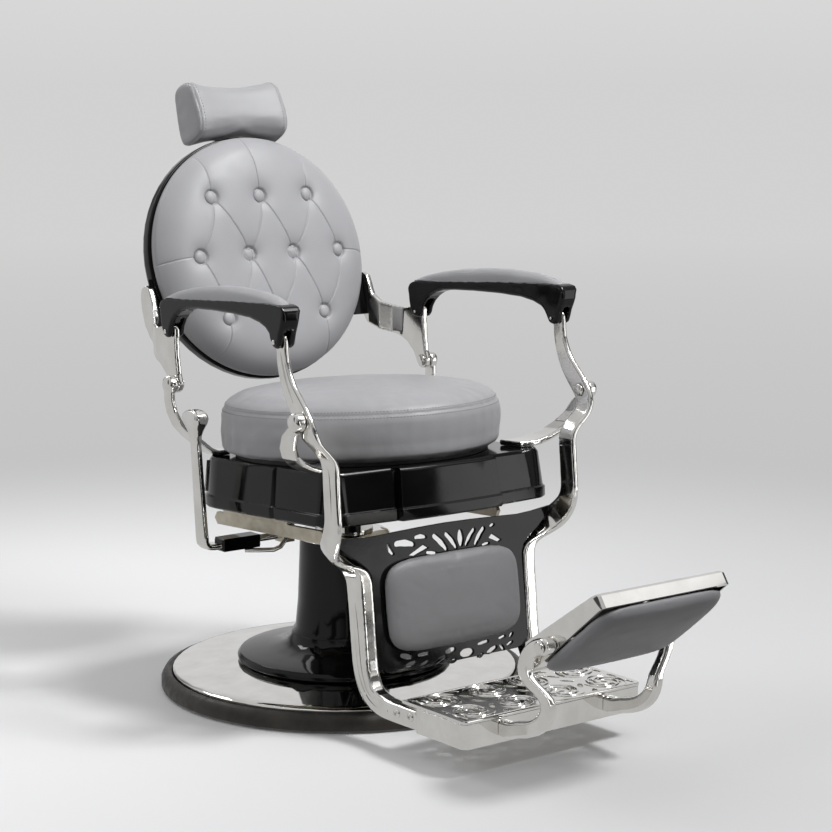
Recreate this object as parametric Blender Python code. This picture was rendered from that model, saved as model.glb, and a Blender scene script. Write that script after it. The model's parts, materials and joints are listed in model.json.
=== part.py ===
"""Barber chair: round tufted back, round seat, linked armrests and leg rest on a hydraulic column.

Metres, +Z up. The origin is the centre of the base on the floor; the chair faces -Y.
Left and right are the sitter's: left is +X, right is -X.
"""
import math

import bpy
import bmesh
from mathutils import Vector
from mathutils.geometry import tessellate_polygon

# Base, column and piston
BASE_R = 0.350
RIM_H = 0.035
PLATE_TOP = 0.050
PLATE_T = 0.0057
SKIRT_R = 0.2045
COLUMN_TOP = 0.283
COLUMN_R_TOP = 0.084
COLUMN_R_FOOT = 0.0997
PISTON_R = 0.0553
PISTON_TOP = 0.327
GAP = 0.0003

# Seat, in its own frame: tilted about X with the front up, origin above the column
SEAT_TILT = math.radians(2.93)
SEAT_Z = 0.370
APRON_W = 0.250
APRON_FRONT = 0.334
APRON_REAR = 0.160
APRON_BOTTOM = -0.007
DECK_Z = 0.085
WALL_LOW = (0.0165, 0.0035)
WALL_HIGH = (DECK_Z - 0.007, -0.004)
STRIP_Z0 = WALL_LOW[0] + 0.002
STRIP_Z1 = WALL_HIGH[0] - 0.001
STRIP_T = 0.005
STRIP_FACET = (18, 19)
CUSHION_Y = -0.063
CUSHION_R = 0.2615
CUSHION_FLAT = 0.0335
CUSHION_Z0 = 0.0953
RAIL_X = 0.120
BAR_X = 0.200
PLATE_Z1 = -0.018
PLATE_Z0 = -0.026

# Linkage pivots (Y, Z), their X planes and eye sizes
REAR_PIVOT = (0.1225, 0.5875)
ARM_REAR = (0.131, 0.6855)
FRONT_PIVOT = (-0.3202, 0.574)
ARM_FRONT = (-0.2555, 0.7032)
BACK_ARM_X = 0.290
BACK_ARM_T = 0.012
LEVER_X = 0.3137
LEVER_T = 0.0115
PIN_R = 0.003
REAR_STUB_R = 0.0075
FRONT_STUB_R = 0.0085

# Back and headrest, in the frame of the reclined back
BACK_LEAN = math.radians(13.5)
SHELL_R = 0.2405
BACK_R = SHELL_R - 0.0055
BACK_WIDE = 1.02
BACK_Y = 0.2465
BACK_LOW = 0.5665
BACK_Z = BACK_LOW + SHELL_R
LUG_REACH = 0.0095
SHELL_N0 = -0.076
SHELL_N1 = -0.0413
BUTTON_DX = 0.110
BUTTON_DS = 0.117
HEADREST_HALF = 0.100
HEADREST_S = SHELL_R + 0.0535
HEADREST_SECTION = (0.294, -0.058)
POST_W = 0.040
POST_T = 0.008

# Armrests
ARM_Y0 = -0.2855
ARM_Y1 = 0.154
ARM_X_REAR = (0.272, 0.306)
ARM_X_FRONT = (0.295, 0.332)
ARM_HALF = 0.018
ARM_PAD_H = 0.020
PAD_Y0 = -0.266
PAD_Y1 = 0.144

# Leg rest
LEG_X0 = 0.172
LEG_X1 = 0.200
PANEL_TOP = (-0.306, 0.358)
PANEL_LEAN = math.atan2(0.032, 0.245)
PANEL_T = 0.006
PANEL_H = 0.247
LEG_PAD_A = 0.150
LEG_PAD_B = 0.083
FOOT_Y0 = -0.609
FOOT_Y1 = -0.441
FOOT_Z0 = 0.050
FOOT_Z1 = 0.0925
GRILLE_T = 0.006

# Flip footrest
FLIP_PIVOT = (-0.755, 0.250)
FLIP_LIFT = math.radians(34.0)
FLIP_HALF = 0.142
FLIP_TOP = 0.0283
FLIP_FRONT = 0.1447
FLIP_REAR = -0.0613
FLIP_ROUND = 0.010
FLIP_PAD_INSET = 0.0015
GOOSE_T = 0.021
FLIP_STUB_R = 0.006

# Pump lever
PUMP_AXIS = (0.035, 0.297)
PUMP_X = -0.295
SHAFT_R = 0.007

for old in list(bpy.data.objects):
    bpy.data.objects.remove(old, do_unlink=True)


# Materials
def material(name, colour, metallic, roughness):
    mat = bpy.data.materials.new(name)
    mat.use_nodes = True
    shader = mat.node_tree.nodes["Principled BSDF"]
    shader.inputs["Base Color"].default_value = (*colour, 1.0)
    shader.inputs["Metallic"].default_value = metallic
    shader.inputs["Roughness"].default_value = roughness
    return mat


LEATHER = ("upholstery", (0.27, 0.27, 0.29), 0.0, 0.5)
BLACK = ("gloss_black", (0.012, 0.012, 0.013), 0.0, 0.12)
CHROME = ("chrome", (0.78, 0.77, 0.75), 1.0, 0.1)
RUBBER = ("rubber", (0.035, 0.028, 0.022), 0.0, 0.6)
ZINC = ("zinc_plated_steel", (0.42, 0.34, 0.22), 0.8, 0.4)
BOARD = ("black_board", (0.02, 0.02, 0.02), 0.0, 0.7)

# Bodies: an empty on each joint axis, in the order parent before child
BODY_AXES = {
    "base": (None, (0.0, 0.0, 0.0)),
    "lift": ("base", (0.0, 0.0, COLUMN_TOP)),
    "swivel": ("lift", (0.0, 0.0, PISTON_TOP)),
    "back": ("swivel", (0.0, *REAR_PIVOT)),
    "arm_left": ("back", (BACK_ARM_X, *ARM_REAR)),
    "arm_right": ("back", (-BACK_ARM_X, *ARM_REAR)),
    "legrest": ("swivel", (0.0, *FRONT_PIVOT)),
    "flip": ("legrest", (0.0, *FLIP_PIVOT)),
    "pump": ("swivel", (PUMP_X, *PUMP_AXIS)),
}
BODIES = {}


def add_body(name, parent, origin):
    empty = bpy.data.objects.new("axis_" + name, None)
    bpy.context.scene.collection.objects.link(empty)
    origin = Vector(origin)
    if parent is None:
        empty.location = origin
    else:
        empty.parent = BODIES[parent][0]
        empty.location = origin - BODIES[parent][1]
    BODIES[name] = (empty, origin)


for body_name, (body_parent, body_origin) in BODY_AXES.items():
    add_body(body_name, body_parent, body_origin)


# Frames
def seat(x, y, z):
    c, s = math.cos(SEAT_TILT), math.sin(SEAT_TILT)
    return Vector((x, y * c + z * s, SEAT_Z - y * s + z * c))


def seat_coords(y, z):
    c, s = math.cos(SEAT_TILT), math.sin(SEAT_TILT)
    return y * c - (z - SEAT_Z) * s, y * s + (z - SEAT_Z) * c


def under_plate(y, drop=0.0):
    """World height of the mounting plate's underside at depth y."""
    c, s = math.cos(SEAT_TILT), math.sin(SEAT_TILT)
    return SEAT_Z + (PLATE_Z0 - drop - y * s) / c


def back(x, s, n):
    cl, sl = math.cos(BACK_LEAN), math.sin(BACK_LEAN)
    return Vector((x, BACK_Y + sl * s - cl * n, BACK_Z + cl * s + sl * n))


def panel(x, t, w):
    cl, sl = math.cos(PANEL_LEAN), math.sin(PANEL_LEAN)
    return Vector((x, PANEL_TOP[0] + sl * t - cl * w, PANEL_TOP[1] + cl * t + sl * w))


def flip(x, u, v):
    cl, sl = math.cos(FLIP_LIFT), math.sin(FLIP_LIFT)
    return Vector((x, FLIP_PIVOT[0] - cl * u + sl * v, FLIP_PIVOT[1] + sl * u + cl * v))


# Solids
def solid(name, verts, faces, look, body):
    """One closed node, its origin on the axis of its body."""
    empty, origin = BODIES[body]
    bm = bmesh.new()
    made = [bm.verts.new(Vector(v) - origin) for v in verts]
    for face in faces:
        bm.faces.new([made[i] for i in face])
    bmesh.ops.triangulate(bm, faces=bm.faces[:])
    bmesh.ops.recalc_face_normals(bm, faces=bm.faces[:])
    if bm.calc_volume(signed=True) < 0.0:
        bmesh.ops.reverse_faces(bm, faces=bm.faces[:])
    mesh = bpy.data.meshes.new(name)
    bm.to_mesh(mesh)
    bm.free()
    obj = bpy.data.objects.new(name, mesh)
    bpy.context.scene.collection.objects.link(obj)
    obj.parent = empty
    mesh.materials.append(material(name + "_" + look[0], *look[1:]))
    return obj


def upright(r, a, z):
    return Vector((r * math.cos(a), r * math.sin(a), z))


def revolve(name, profile, look, body, segs=64, place=upright):
    """Closed profile of (radius, height) turned about the axis; a zero radius is a pole."""
    verts, index = [], []
    for r, z in profile:
        if r == 0.0:
            index.append([len(verts)] * segs)
            verts.append(place(0.0, 0.0, z))
        else:
            index.append(list(range(len(verts), len(verts) + segs)))
            verts += [place(r, math.tau * k / segs, z) for k in range(segs)]
    faces = []
    for a, b in zip(index, index[1:] + index[:1]):
        for k in range(segs):
            m = (k + 1) % segs
            ring = [a[k], a[m], b[m], b[k]]
            face = [v for i, v in enumerate(ring) if v not in ring[:i]]
            if len(face) > 2:
                faces.append(face)
    return solid(name, verts, faces, look, body)


def loft(name, rings, look, body):
    """Skin over rings of equal length, capped at both ends."""
    count = len(rings[0])
    verts = [p for ring in rings for p in ring]
    faces = [list(range(count)), list(range(len(verts) - count, len(verts)))]
    for i in range(len(rings) - 1):
        for k in range(count):
            m = (k + 1) % count
            faces.append([i * count + k, i * count + m, (i + 1) * count + m, (i + 1) * count + k])
    return solid(name, verts, faces, look, body)


def prism(name, loops, place, lo, hi, look, body):
    """Flat plate: the first loop is the outline and the rest are holes."""
    flat = [p for loop in loops for p in loop]
    tris = tessellate_polygon([[Vector((u, v, 0.0)) for u, v in loop] for loop in loops])
    n = len(flat)
    verts = [place(u, v, lo) for u, v in flat] + [place(u, v, hi) for u, v in flat]
    faces = [list(t) for t in tris] + [[i + n for i in t] for t in tris]
    start = 0
    for loop in loops:
        size = len(loop)
        for k in range(size):
            a, b = start + k, start + (k + 1) % size
            faces.append([a, b, b + n, a + n])
        start += size
    return solid(name, verts, faces, look, body)


def box(name, x, y, z, look, body, place=lambda a, b, c: Vector((a, b, c))):
    outline = [(x[0], y[0]), (x[1], y[0]), (x[1], y[1]), (x[0], y[1])]
    return prism(name, [outline], place, z[0], z[1], look, body)


def strap(name, stations, look, body, place=lambda a, b, c: Vector((a, b, c)), chamfer=0.3):
    """Flat bar along a path in the XZ plane of its frame: stations of x, y, z, half width, half thickness."""
    rings = []
    for i, (x, y, z, hw, ht) in enumerate(stations):
        a = stations[max(i - 1, 0)]
        b = stations[min(i + 1, len(stations) - 1)]
        dx, dz = b[0] - a[0], b[2] - a[2]
        size = math.hypot(dx, dz)
        nx, nz = -dz / size, dx / size
        c = ht * chamfer
        section = [(-hw + c, -ht), (hw - c, -ht), (hw, -ht + c), (hw, ht - c),
                   (hw - c, ht), (-hw + c, ht), (-hw, ht - c), (-hw, -ht + c)]
        rings.append([place(x + nx * t, y + w, z + nz * t) for w, t in section])
    return loft(name, rings, look, body)


def smooth_path(stations, steps):
    """Extra stations on a smooth curve through the given ones."""
    out = []
    last = len(stations) - 1
    for i in range(last):
        p0, p1, p2, p3 = (stations[min(max(i + k, 0), last)] for k in (-1, 0, 1, 2))
        for k in range(steps):
            t = k / steps
            point = []
            for a, b, c, d in zip(p0, p1, p2, p3):
                bend = (2 * a - 5 * b + 4 * c - d) * t + (3 * b - a - 3 * c + d) * t * t
                point.append(b + 0.5 * t * (c - a + bend))
            out.append(tuple(point))
    return out + [tuple(stations[last])]


def side_bar(name, stations, sx, look, body, chamfer=0.003):
    """Flat bar along a path in the YZ plane: stations of y, z, inner x, outer x, half width."""
    rings = []
    for i, (y, z, xin, xout, hw) in enumerate(stations):
        a = stations[max(i - 1, 0)]
        b = stations[min(i + 1, len(stations) - 1)]
        dy, dz = b[0] - a[0], b[1] - a[1]
        size = math.hypot(dy, dz)
        ny, nz = -dz / size, dy / size
        c = min(chamfer, hw * 0.4)
        section = [(xin + c, -hw), (xout - c, -hw), (xout, -hw + c), (xout, hw - c),
                   (xout - c, hw), (xin + c, hw), (xin, hw - c), (xin, -hw + c)]
        rings.append([Vector((sx * x, y + ny * w, z + nz * w)) for x, w in section])
    return loft(name, rings, look, body)


def rod(name, path, radius, look, body, segs=10):
    rings = []
    pts = [Vector(p) for p in path]
    for i, p in enumerate(pts):
        way = (pts[min(i + 1, len(pts) - 1)] - pts[max(i - 1, 0)]).normalized()
        side = way.cross(Vector((0.13, 0.2, 1.0))).normalized()
        lift = way.cross(side)
        turns = [math.tau * k / segs for k in range(segs)]
        rings.append([p + radius * (math.cos(a) * side + math.sin(a) * lift) for a in turns])
    return loft(name, rings, look, body)


def turned_x(name, profile, centre, sx, look, body, segs=20):
    """Piece turned about an axis along X: profile of (radius, x)."""
    def place(r, a, x):
        return Vector((sx * x, centre[0] + r * math.cos(a), centre[1] + r * math.sin(a)))
    return revolve(name, profile, look, body, segs, place)


def pad(name, place, a, b, power, profile, segs, look, body):
    """Cushion on a rounded rectangle: profile of (inset, height), from the back to the crown."""
    rings = []
    for inset, height in profile:
        ring = []
        for k in range(segs):
            t = math.tau * k / segs
            c, s = math.cos(t), math.sin(t)
            u = math.copysign(abs(c) ** (2.0 / power), c) * max(a - inset, 0.0015)
            drawn = inset * b / a if inset > 0.5 * b else inset
            v = math.copysign(abs(s) ** (2.0 / power), s) * max(b - drawn, 0.0015)
            ring.append(place(u, v, height))
        rings.append(ring)
    return loft(name, rings, look, body)


def combine(obj, other, operation):
    """Boolean of two solids; the second is used up."""
    mod = obj.modifiers.new("combine", "BOOLEAN")
    mod.solver = "EXACT"
    mod.operation = operation
    mod.object = other
    bpy.context.view_layer.update()
    graph = bpy.context.evaluated_depsgraph_get()
    mesh = bpy.data.meshes.new_from_object(obj.evaluated_get(graph))
    obj.modifiers.clear()
    old = obj.data
    obj.data = mesh
    mesh.name = obj.name
    bpy.data.meshes.remove(old)
    look = mesh.materials[0]
    mesh.materials.clear()
    mesh.materials.append(look)
    for poly in mesh.polygons:
        poly.material_index = 0
    used = other.data
    bpy.data.objects.remove(other, do_unlink=True)
    bpy.data.meshes.remove(used)
    return obj


def bend_inward(obj, sx, y0, y1, shift):
    """Set a flat side plate inward towards its rear: straight up to y0, then an even slope to y1."""
    origin = BODIES["back"][1]
    bm = bmesh.new()
    bm.from_mesh(obj.data)
    for y in (y0, (2 * y0 + y1) / 3, (y0 + 2 * y1) / 3, y1):
        bmesh.ops.bisect_plane(bm, geom=bm.verts[:] + bm.edges[:] + bm.faces[:],
                               plane_co=(0.0, y - origin.y, 0.0), plane_no=(0.0, 1.0, 0.0))
    for v in bm.verts:
        t = max(0.0, min(1.0, (v.co.y + origin.y - y0) / (y1 - y0)))
        v.co.x -= sx * shift * t * t * (3.0 - 2.0 * t)
    bmesh.ops.triangulate(bm, faces=bm.faces[:])
    bm.to_mesh(obj.data)
    bm.free()


def mirrored(name, obj, look, source, body):
    """Copy of a node on the other side of the middle plane."""
    origin = BODIES[source][1]
    verts = [v.co + origin for v in obj.data.vertices]
    obj.data.calc_loop_triangles()
    faces = [list(t.vertices) for t in obj.data.loop_triangles]
    return solid(name, [(-v.x, v.y, v.z) for v in verts], faces, look, body)


def bore_x(obj, centre, radius, x0, x1, sx, body, segs=16):
    tool = turned_x("tool", [(0.0, x0), (radius, x0), (radius, x1), (0.0, x1)], centre, sx, CHROME, body,
                    segs)
    return combine(obj, tool, "DIFFERENCE")


SIDES = (("left", 1.0), ("right", -1.0))


# Base, column and piston
def build_base():
    lip = BASE_R - 0.022
    under = PLATE_TOP - PLATE_T
    revolve("base_foot", [(0.0, 0.0), (BASE_R - 0.007, 0.0), (BASE_R, 0.006), (BASE_R, 0.020),
                          (BASE_R - 0.006, 0.031), (BASE_R - 0.014, RIM_H), (BASE_R - 0.020, RIM_H - 0.002),
                          (lip + 0.0005, 0.0258), (0.3155, 0.0297), (0.212, under - GAP), (0.0, under - GAP)],
            RUBBER, "base")
    revolve("base_plate", [(0.0, under), (0.212, under), (0.3155, 0.030), (lip, 0.0263), (lip, 0.037),
                           (lip - 0.005, 0.041), (lip - 0.018, 0.0425), (0.300, 0.043),
                           (0.212, PLATE_TOP), (0.0, PLATE_TOP)], CHROME, "base")
    foot = PLATE_TOP + GAP
    r = COLUMN_R_FOOT + GAP
    revolve("base_skirt", [(r, foot), (SKIRT_R - 0.006, foot), (SKIRT_R, foot + 0.005),
                           (SKIRT_R, foot + 0.011), (SKIRT_R - 0.005, foot + 0.017),
                           (SKIRT_R - 0.024, foot + 0.021), (0.150, foot + 0.0245), (0.125, foot + 0.029),
                           (0.110, foot + 0.036), (0.103, foot + 0.046), (r, foot + 0.054)],
            BLACK, "base", 44)
    bore = PISTON_R + GAP
    revolve("column_sleeve", [(bore, foot), (COLUMN_R_FOOT, foot), (COLUMN_R_FOOT, foot + 0.056),
                              (0.0935, foot + 0.064), (0.0885, 0.165), (COLUMN_R_TOP + 0.001, 0.255),
                              (COLUMN_R_TOP, COLUMN_TOP), (bore, COLUMN_TOP)], BLACK, "base", 40)
    top = COLUMN_TOP + GAP
    revolve("column_collar", [(bore, top), (COLUMN_R_TOP + 0.002, top), (COLUMN_R_TOP + 0.004, top + 0.004),
                              (COLUMN_R_TOP + 0.004, top + 0.009), (COLUMN_R_TOP, top + 0.0125),
                              (0.070, top + 0.0145), (bore, top + 0.0145)], CHROME, "base", 36)
    hollow = PISTON_R - 0.008
    revolve("piston", [(hollow, foot + 0.006), (PISTON_R, foot + 0.006), (PISTON_R, PISTON_TOP),
                       (0.0, PISTON_TOP), (0.0, PISTON_TOP - 0.020), (hollow, PISTON_TOP - 0.020)], CHROME,
            "lift", 40)


# Seat mounting
def build_mount():
    segs = 32
    rings = []
    for level in (0, 1):
        ring = []
        for k in range(segs):
            a = math.tau * k / segs
            x, y = 0.068 * math.cos(a), 0.068 * math.sin(a)
            ring.append(Vector((x, y, PISTON_TOP + GAP if level == 0 else under_plate(y, GAP))))
        rings.append(ring)
    loft("swivel_hub", rings, ZINC, "swivel")
    box("mount_plate", (-BAR_X - 0.008, BAR_X + 0.008), (-0.110, 0.100), (PLATE_Z0, PLATE_Z1), ZINC,
        "swivel", seat)
    for side, sx in SIDES:
        outline = [(-0.218, PLATE_Z0 - 0.012), (-0.212, PLATE_Z0 - GAP), (0.128, PLATE_Z0 - GAP),
                   (0.137, PLATE_Z0 - 0.012), (0.128, PLATE_Z0 - 0.024), (-0.212, PLATE_Z0 - 0.024)]
        prism("mount_bar_" + side, [outline], lambda y, z, x, sx=sx: seat(sx * x, y, z),
              BAR_X - 0.004, BAR_X + 0.004, ZINC, "swivel")
        box("seat_rail_" + side, (sx * RAIL_X - 0.005, sx * RAIL_X + 0.005), (-0.200, 0.095),
            (PLATE_Z1 + GAP, DECK_Z - 0.012 - GAP), ZINC, "swivel", seat)


# Seat frame, pan and cushion
def apron_outline(offset, detail):
    """Plan of the seat frame: a proud front panel, corner pilasters and rounded rear corners."""
    proud = 0.016 * detail
    groove = 0.005 * detail
    flat = APRON_FRONT - 0.018
    half = [(x, -flat - proud * (1.0 - 0.3 * (x / 0.11) ** 2)) for x in (0.0, 0.037, 0.074, 0.110)]
    half += [(0.1115, -flat + groove), (0.1165, -flat + groove), (0.118, -flat + 0.001)]
    half += [(APRON_W - 0.038 + 0.038 * math.sin(a), -0.268 - 0.038 * math.cos(a))
             for a in (math.radians(d) for d in (0, 22, 45, 68, 90))]
    half += [(APRON_W, -0.146), (APRON_W - groove, -0.142), (APRON_W - groove, -0.132), (APRON_W, -0.128)]
    rear = 0.110
    half += [(APRON_W - rear + rear * math.cos(a), APRON_REAR - rear + rear * math.sin(a))
             for a in (math.radians(d) for d in (0, 15, 30, 45, 60, 75, 90))]
    full = half + [(0.0, APRON_REAR)] + [(-x, y) for x, y in reversed(half[1:])]
    out = []
    for i, (x, y) in enumerate(full):
        ax, ay = full[i - 1]
        bx, by = full[(i + 1) % len(full)]
        dx, dy = bx - ax, by - ay
        size = math.hypot(dx, dy)
        out.append((x + offset * dy / size, y - offset * dx / size))
    return out


def cushion_plan(r, a):
    """Point of the seat's round plan, its rear slightly flattened to clear the back."""
    x, y = r * math.cos(a), r * math.sin(a)
    start = 0.150
    if y > start:
        y -= CUSHION_FLAT * ((y - start) / (CUSHION_R - start)) ** 2
    return x, CUSHION_Y + y


def build_seat():
    levels = [(DECK_Z - 0.012, -0.016, 0.0), (APRON_BOTTOM, -0.014, 0.0), (APRON_BOTTOM, 0.005, 1.0),
              (APRON_BOTTOM + 0.003, 0.0075, 1.0), (0.0135, 0.0075, 1.0), (*WALL_LOW, 1.0),
              (*WALL_HIGH, 1.0), (DECK_Z, -0.009, 0.9)]
    rings = [[seat(x, y, z) for x, y in apron_outline(off, detail)] for z, off, detail in levels]
    loft("seat_frame", rings, BLACK, "swivel")

    def place(r, a, z):
        return seat(*cushion_plan(r, a), z)
    top = CUSHION_Z0 - GAP
    revolve("seat_pan", [(0.0, DECK_Z + GAP), (0.236, DECK_Z + GAP), (0.236, top), (0.0, top)], BOARD,
            "swivel", 48, place)
    z0, r = CUSHION_Z0, CUSHION_R
    revolve("seat_cushion", [(0.0, z0), (r - 0.026, z0), (r - 0.011, z0 + 0.004), (r - 0.004, z0 + 0.015),
                             (r - 0.0005, z0 + 0.036), (r, z0 + 0.056), (r - 0.0015, z0 + 0.074),
                             (r - 0.003, z0 + 0.0805), (r - 0.0065, z0 + 0.083), (r - 0.005, z0 + 0.0865),
                             (r - 0.013, z0 + 0.095), (r - 0.036, z0 + 0.104), (r - 0.081, z0 + 0.111),
                             (r - 0.141, z0 + 0.1155), (0.060, z0 + 0.118), (0.0, z0 + 0.119)],
            LEATHER, "swivel", 44, place)
    for side, sx in SIDES:
        rings = []
        for z in (STRIP_Z0, STRIP_Z1):
            rise = (z - WALL_LOW[0]) / (WALL_HIGH[0] - WALL_LOW[0])
            wall = WALL_LOW[1] + (WALL_HIGH[1] - WALL_LOW[1]) * rise
            plan = apron_outline(wall, 1.0)
            a, b = (Vector((*plan[i], 0.0)) for i in STRIP_FACET)
            along = b - a
            out = Vector((along.y, -along.x, 0.0)).normalized()
            ring = []
            for t, reach in ((0.06, GAP), (0.94, GAP), (0.94, STRIP_T), (0.06, STRIP_T)):
                p = a + along * t + out * reach
                ring.append(seat(sx * p.x, p.y, z))
            rings.append(ring)
        loft("rear_strip_" + side, rings, CHROME, "swivel")


# Brackets that carry the back arms and the front levers
def build_brackets():
    ry, rz = seat_coords(*REAR_PIVOT)
    fy, fz = seat_coords(*FRONT_PIVOT)
    foot = DECK_Z + GAP
    for side, sx in SIDES:
        def place(x, y, z, sx=sx):
            return seat(sx * x, y, z)
        t = 0.005
        rear = strap("rear_bracket_" + side,
                     [(0.3065, ry, rz - 0.006, 0.0135, t), (0.3065, 0.112, 0.195, 0.0135, t),
                      (0.3025, 0.111, 0.172, 0.0145, t), (0.291, 0.112, 0.149, 0.016, t),
                      (0.272, 0.113, 0.129, 0.0175, t), (0.251, 0.111, 0.112, 0.019, t),
                      (0.235, 0.106, 0.0965, 0.020, t), (0.222, 0.103, foot + t, 0.021, t),
                      (0.200, 0.100, foot + t, 0.021, t)], CHROME, "swivel", place)
        x = BACK_ARM_X + BACK_ARM_T / 2
        boss = turned_x("boss", [(0.0, x - BACK_ARM_T - 0.0006), (REAR_STUB_R, x - BACK_ARM_T - 0.0006),
                                 (REAR_STUB_R, x + 0.001), (0.0172, x + 0.001), (0.0172, x + 0.0125),
                                 (0.0155, x + 0.0165), (0.010, x + 0.0192), (0.0, x + 0.0205)],
                        REAR_PIVOT, sx, CHROME, "swivel")
        combine(rear, boss, "UNION")
        t = 0.0055
        front = strap("front_bracket_" + side,
                      [(0.3285, fy + 0.002, fz - 0.005, 0.0145, t), (0.3285, -0.308, 0.163, 0.0195, t),
                       (0.324, -0.294, 0.141, 0.021, t), (0.311, -0.281, 0.123, 0.0225, t),
                       (0.291, -0.270, 0.1085, 0.0245, t), (0.269, -0.262, 0.0985, 0.027, t),
                       (0.250, -0.256, 0.0925, 0.029, t), (0.236, -0.251, foot + t, 0.030, t),
                       (0.208, -0.246, foot + t, 0.030, t)], CHROME, "swivel", place)
        x = LEVER_X + LEVER_T / 2
        boss = turned_x("boss", [(0.0, x - LEVER_T - 0.0006), (FRONT_STUB_R, x - LEVER_T - 0.0006),
                                 (FRONT_STUB_R, x + 0.001), (0.0172, x + 0.001), (0.0172, x + 0.0150),
                                 (0.0155, x + 0.0190), (0.010, x + 0.0218), (0.0, x + 0.0230)],
                        FRONT_PIVOT, sx, CHROME, "swivel")
        combine(front, boss, "UNION")
        for where, pivot, inner in (("rear", REAR_PIVOT, BACK_ARM_X - BACK_ARM_T / 2),
                                    ("front", FRONT_PIVOT, LEVER_X - LEVER_T / 2)):
            turned_x("pivot_screw_%s_%s" % (where, side),
                     [(0.0, inner - 0.001), (0.0115, inner - 0.001), (0.0115, inner - 0.003),
                      (0.008, inner - 0.0055), (0.0, inner - 0.0055)], pivot, sx, CHROME, "swivel", 14)


# Back: shell, tufted cushion, arms
BUTTON_ROWS = ((1, (-1, 0, 1)), (0, (-1.5, -0.5, 0.5, 1.5)), (-1, (-1, 0, 1)))
BUTTONS = [(x * BUTTON_DX, row * BUTTON_DS) for row, places in BUTTON_ROWS for x in places]
PLEATS = [((x, s), (x + h * BUTTON_DX / 2, s - BUTTON_DS)) for x, s in BUTTONS for h in (-1, 1)
          if any(abs(x + h * BUTTON_DX / 2 - u) < 1e-6 and abs(s - BUTTON_DS - v) < 1e-6 for u, v in BUTTONS)]
PLEATS += [((x, BUTTON_DS), (x * 1.25, 0.30)) for x in (-BUTTON_DX, 0.0, BUTTON_DX)]
PLEATS += [((x, -BUTTON_DS), (x * 1.25, -0.30)) for x in (-BUTTON_DX, 0.0, BUTTON_DX)]
PLEATS += [((x, 0.0), (x * 1.8, 0.0)) for x in (-1.5 * BUTTON_DX, 1.5 * BUTTON_DX)]


def segment_distance(x, s, a, b):
    dx, ds = b[0] - a[0], b[1] - a[1]
    t = ((x - a[0]) * dx + (s - a[1]) * ds) / (dx * dx + ds * ds)
    t = min(max(t, 0.0), 1.0)
    return math.hypot(x - a[0] - t * dx, s - a[1] - t * ds)


def tuft_height(x, s):
    q = math.hypot(x, s) / BACK_R
    n = 0.016 - 0.040 * q ** 8
    for bx, bs in BUTTONS:
        n -= 0.018 * math.exp(-((x - bx) ** 2 + (s - bs) ** 2) / 0.020 ** 2)
    fold = min(segment_distance(x, s, a, b) for a, b in PLEATS)
    return n - 0.0045 * math.exp(-(fold / 0.010) ** 2)


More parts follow.
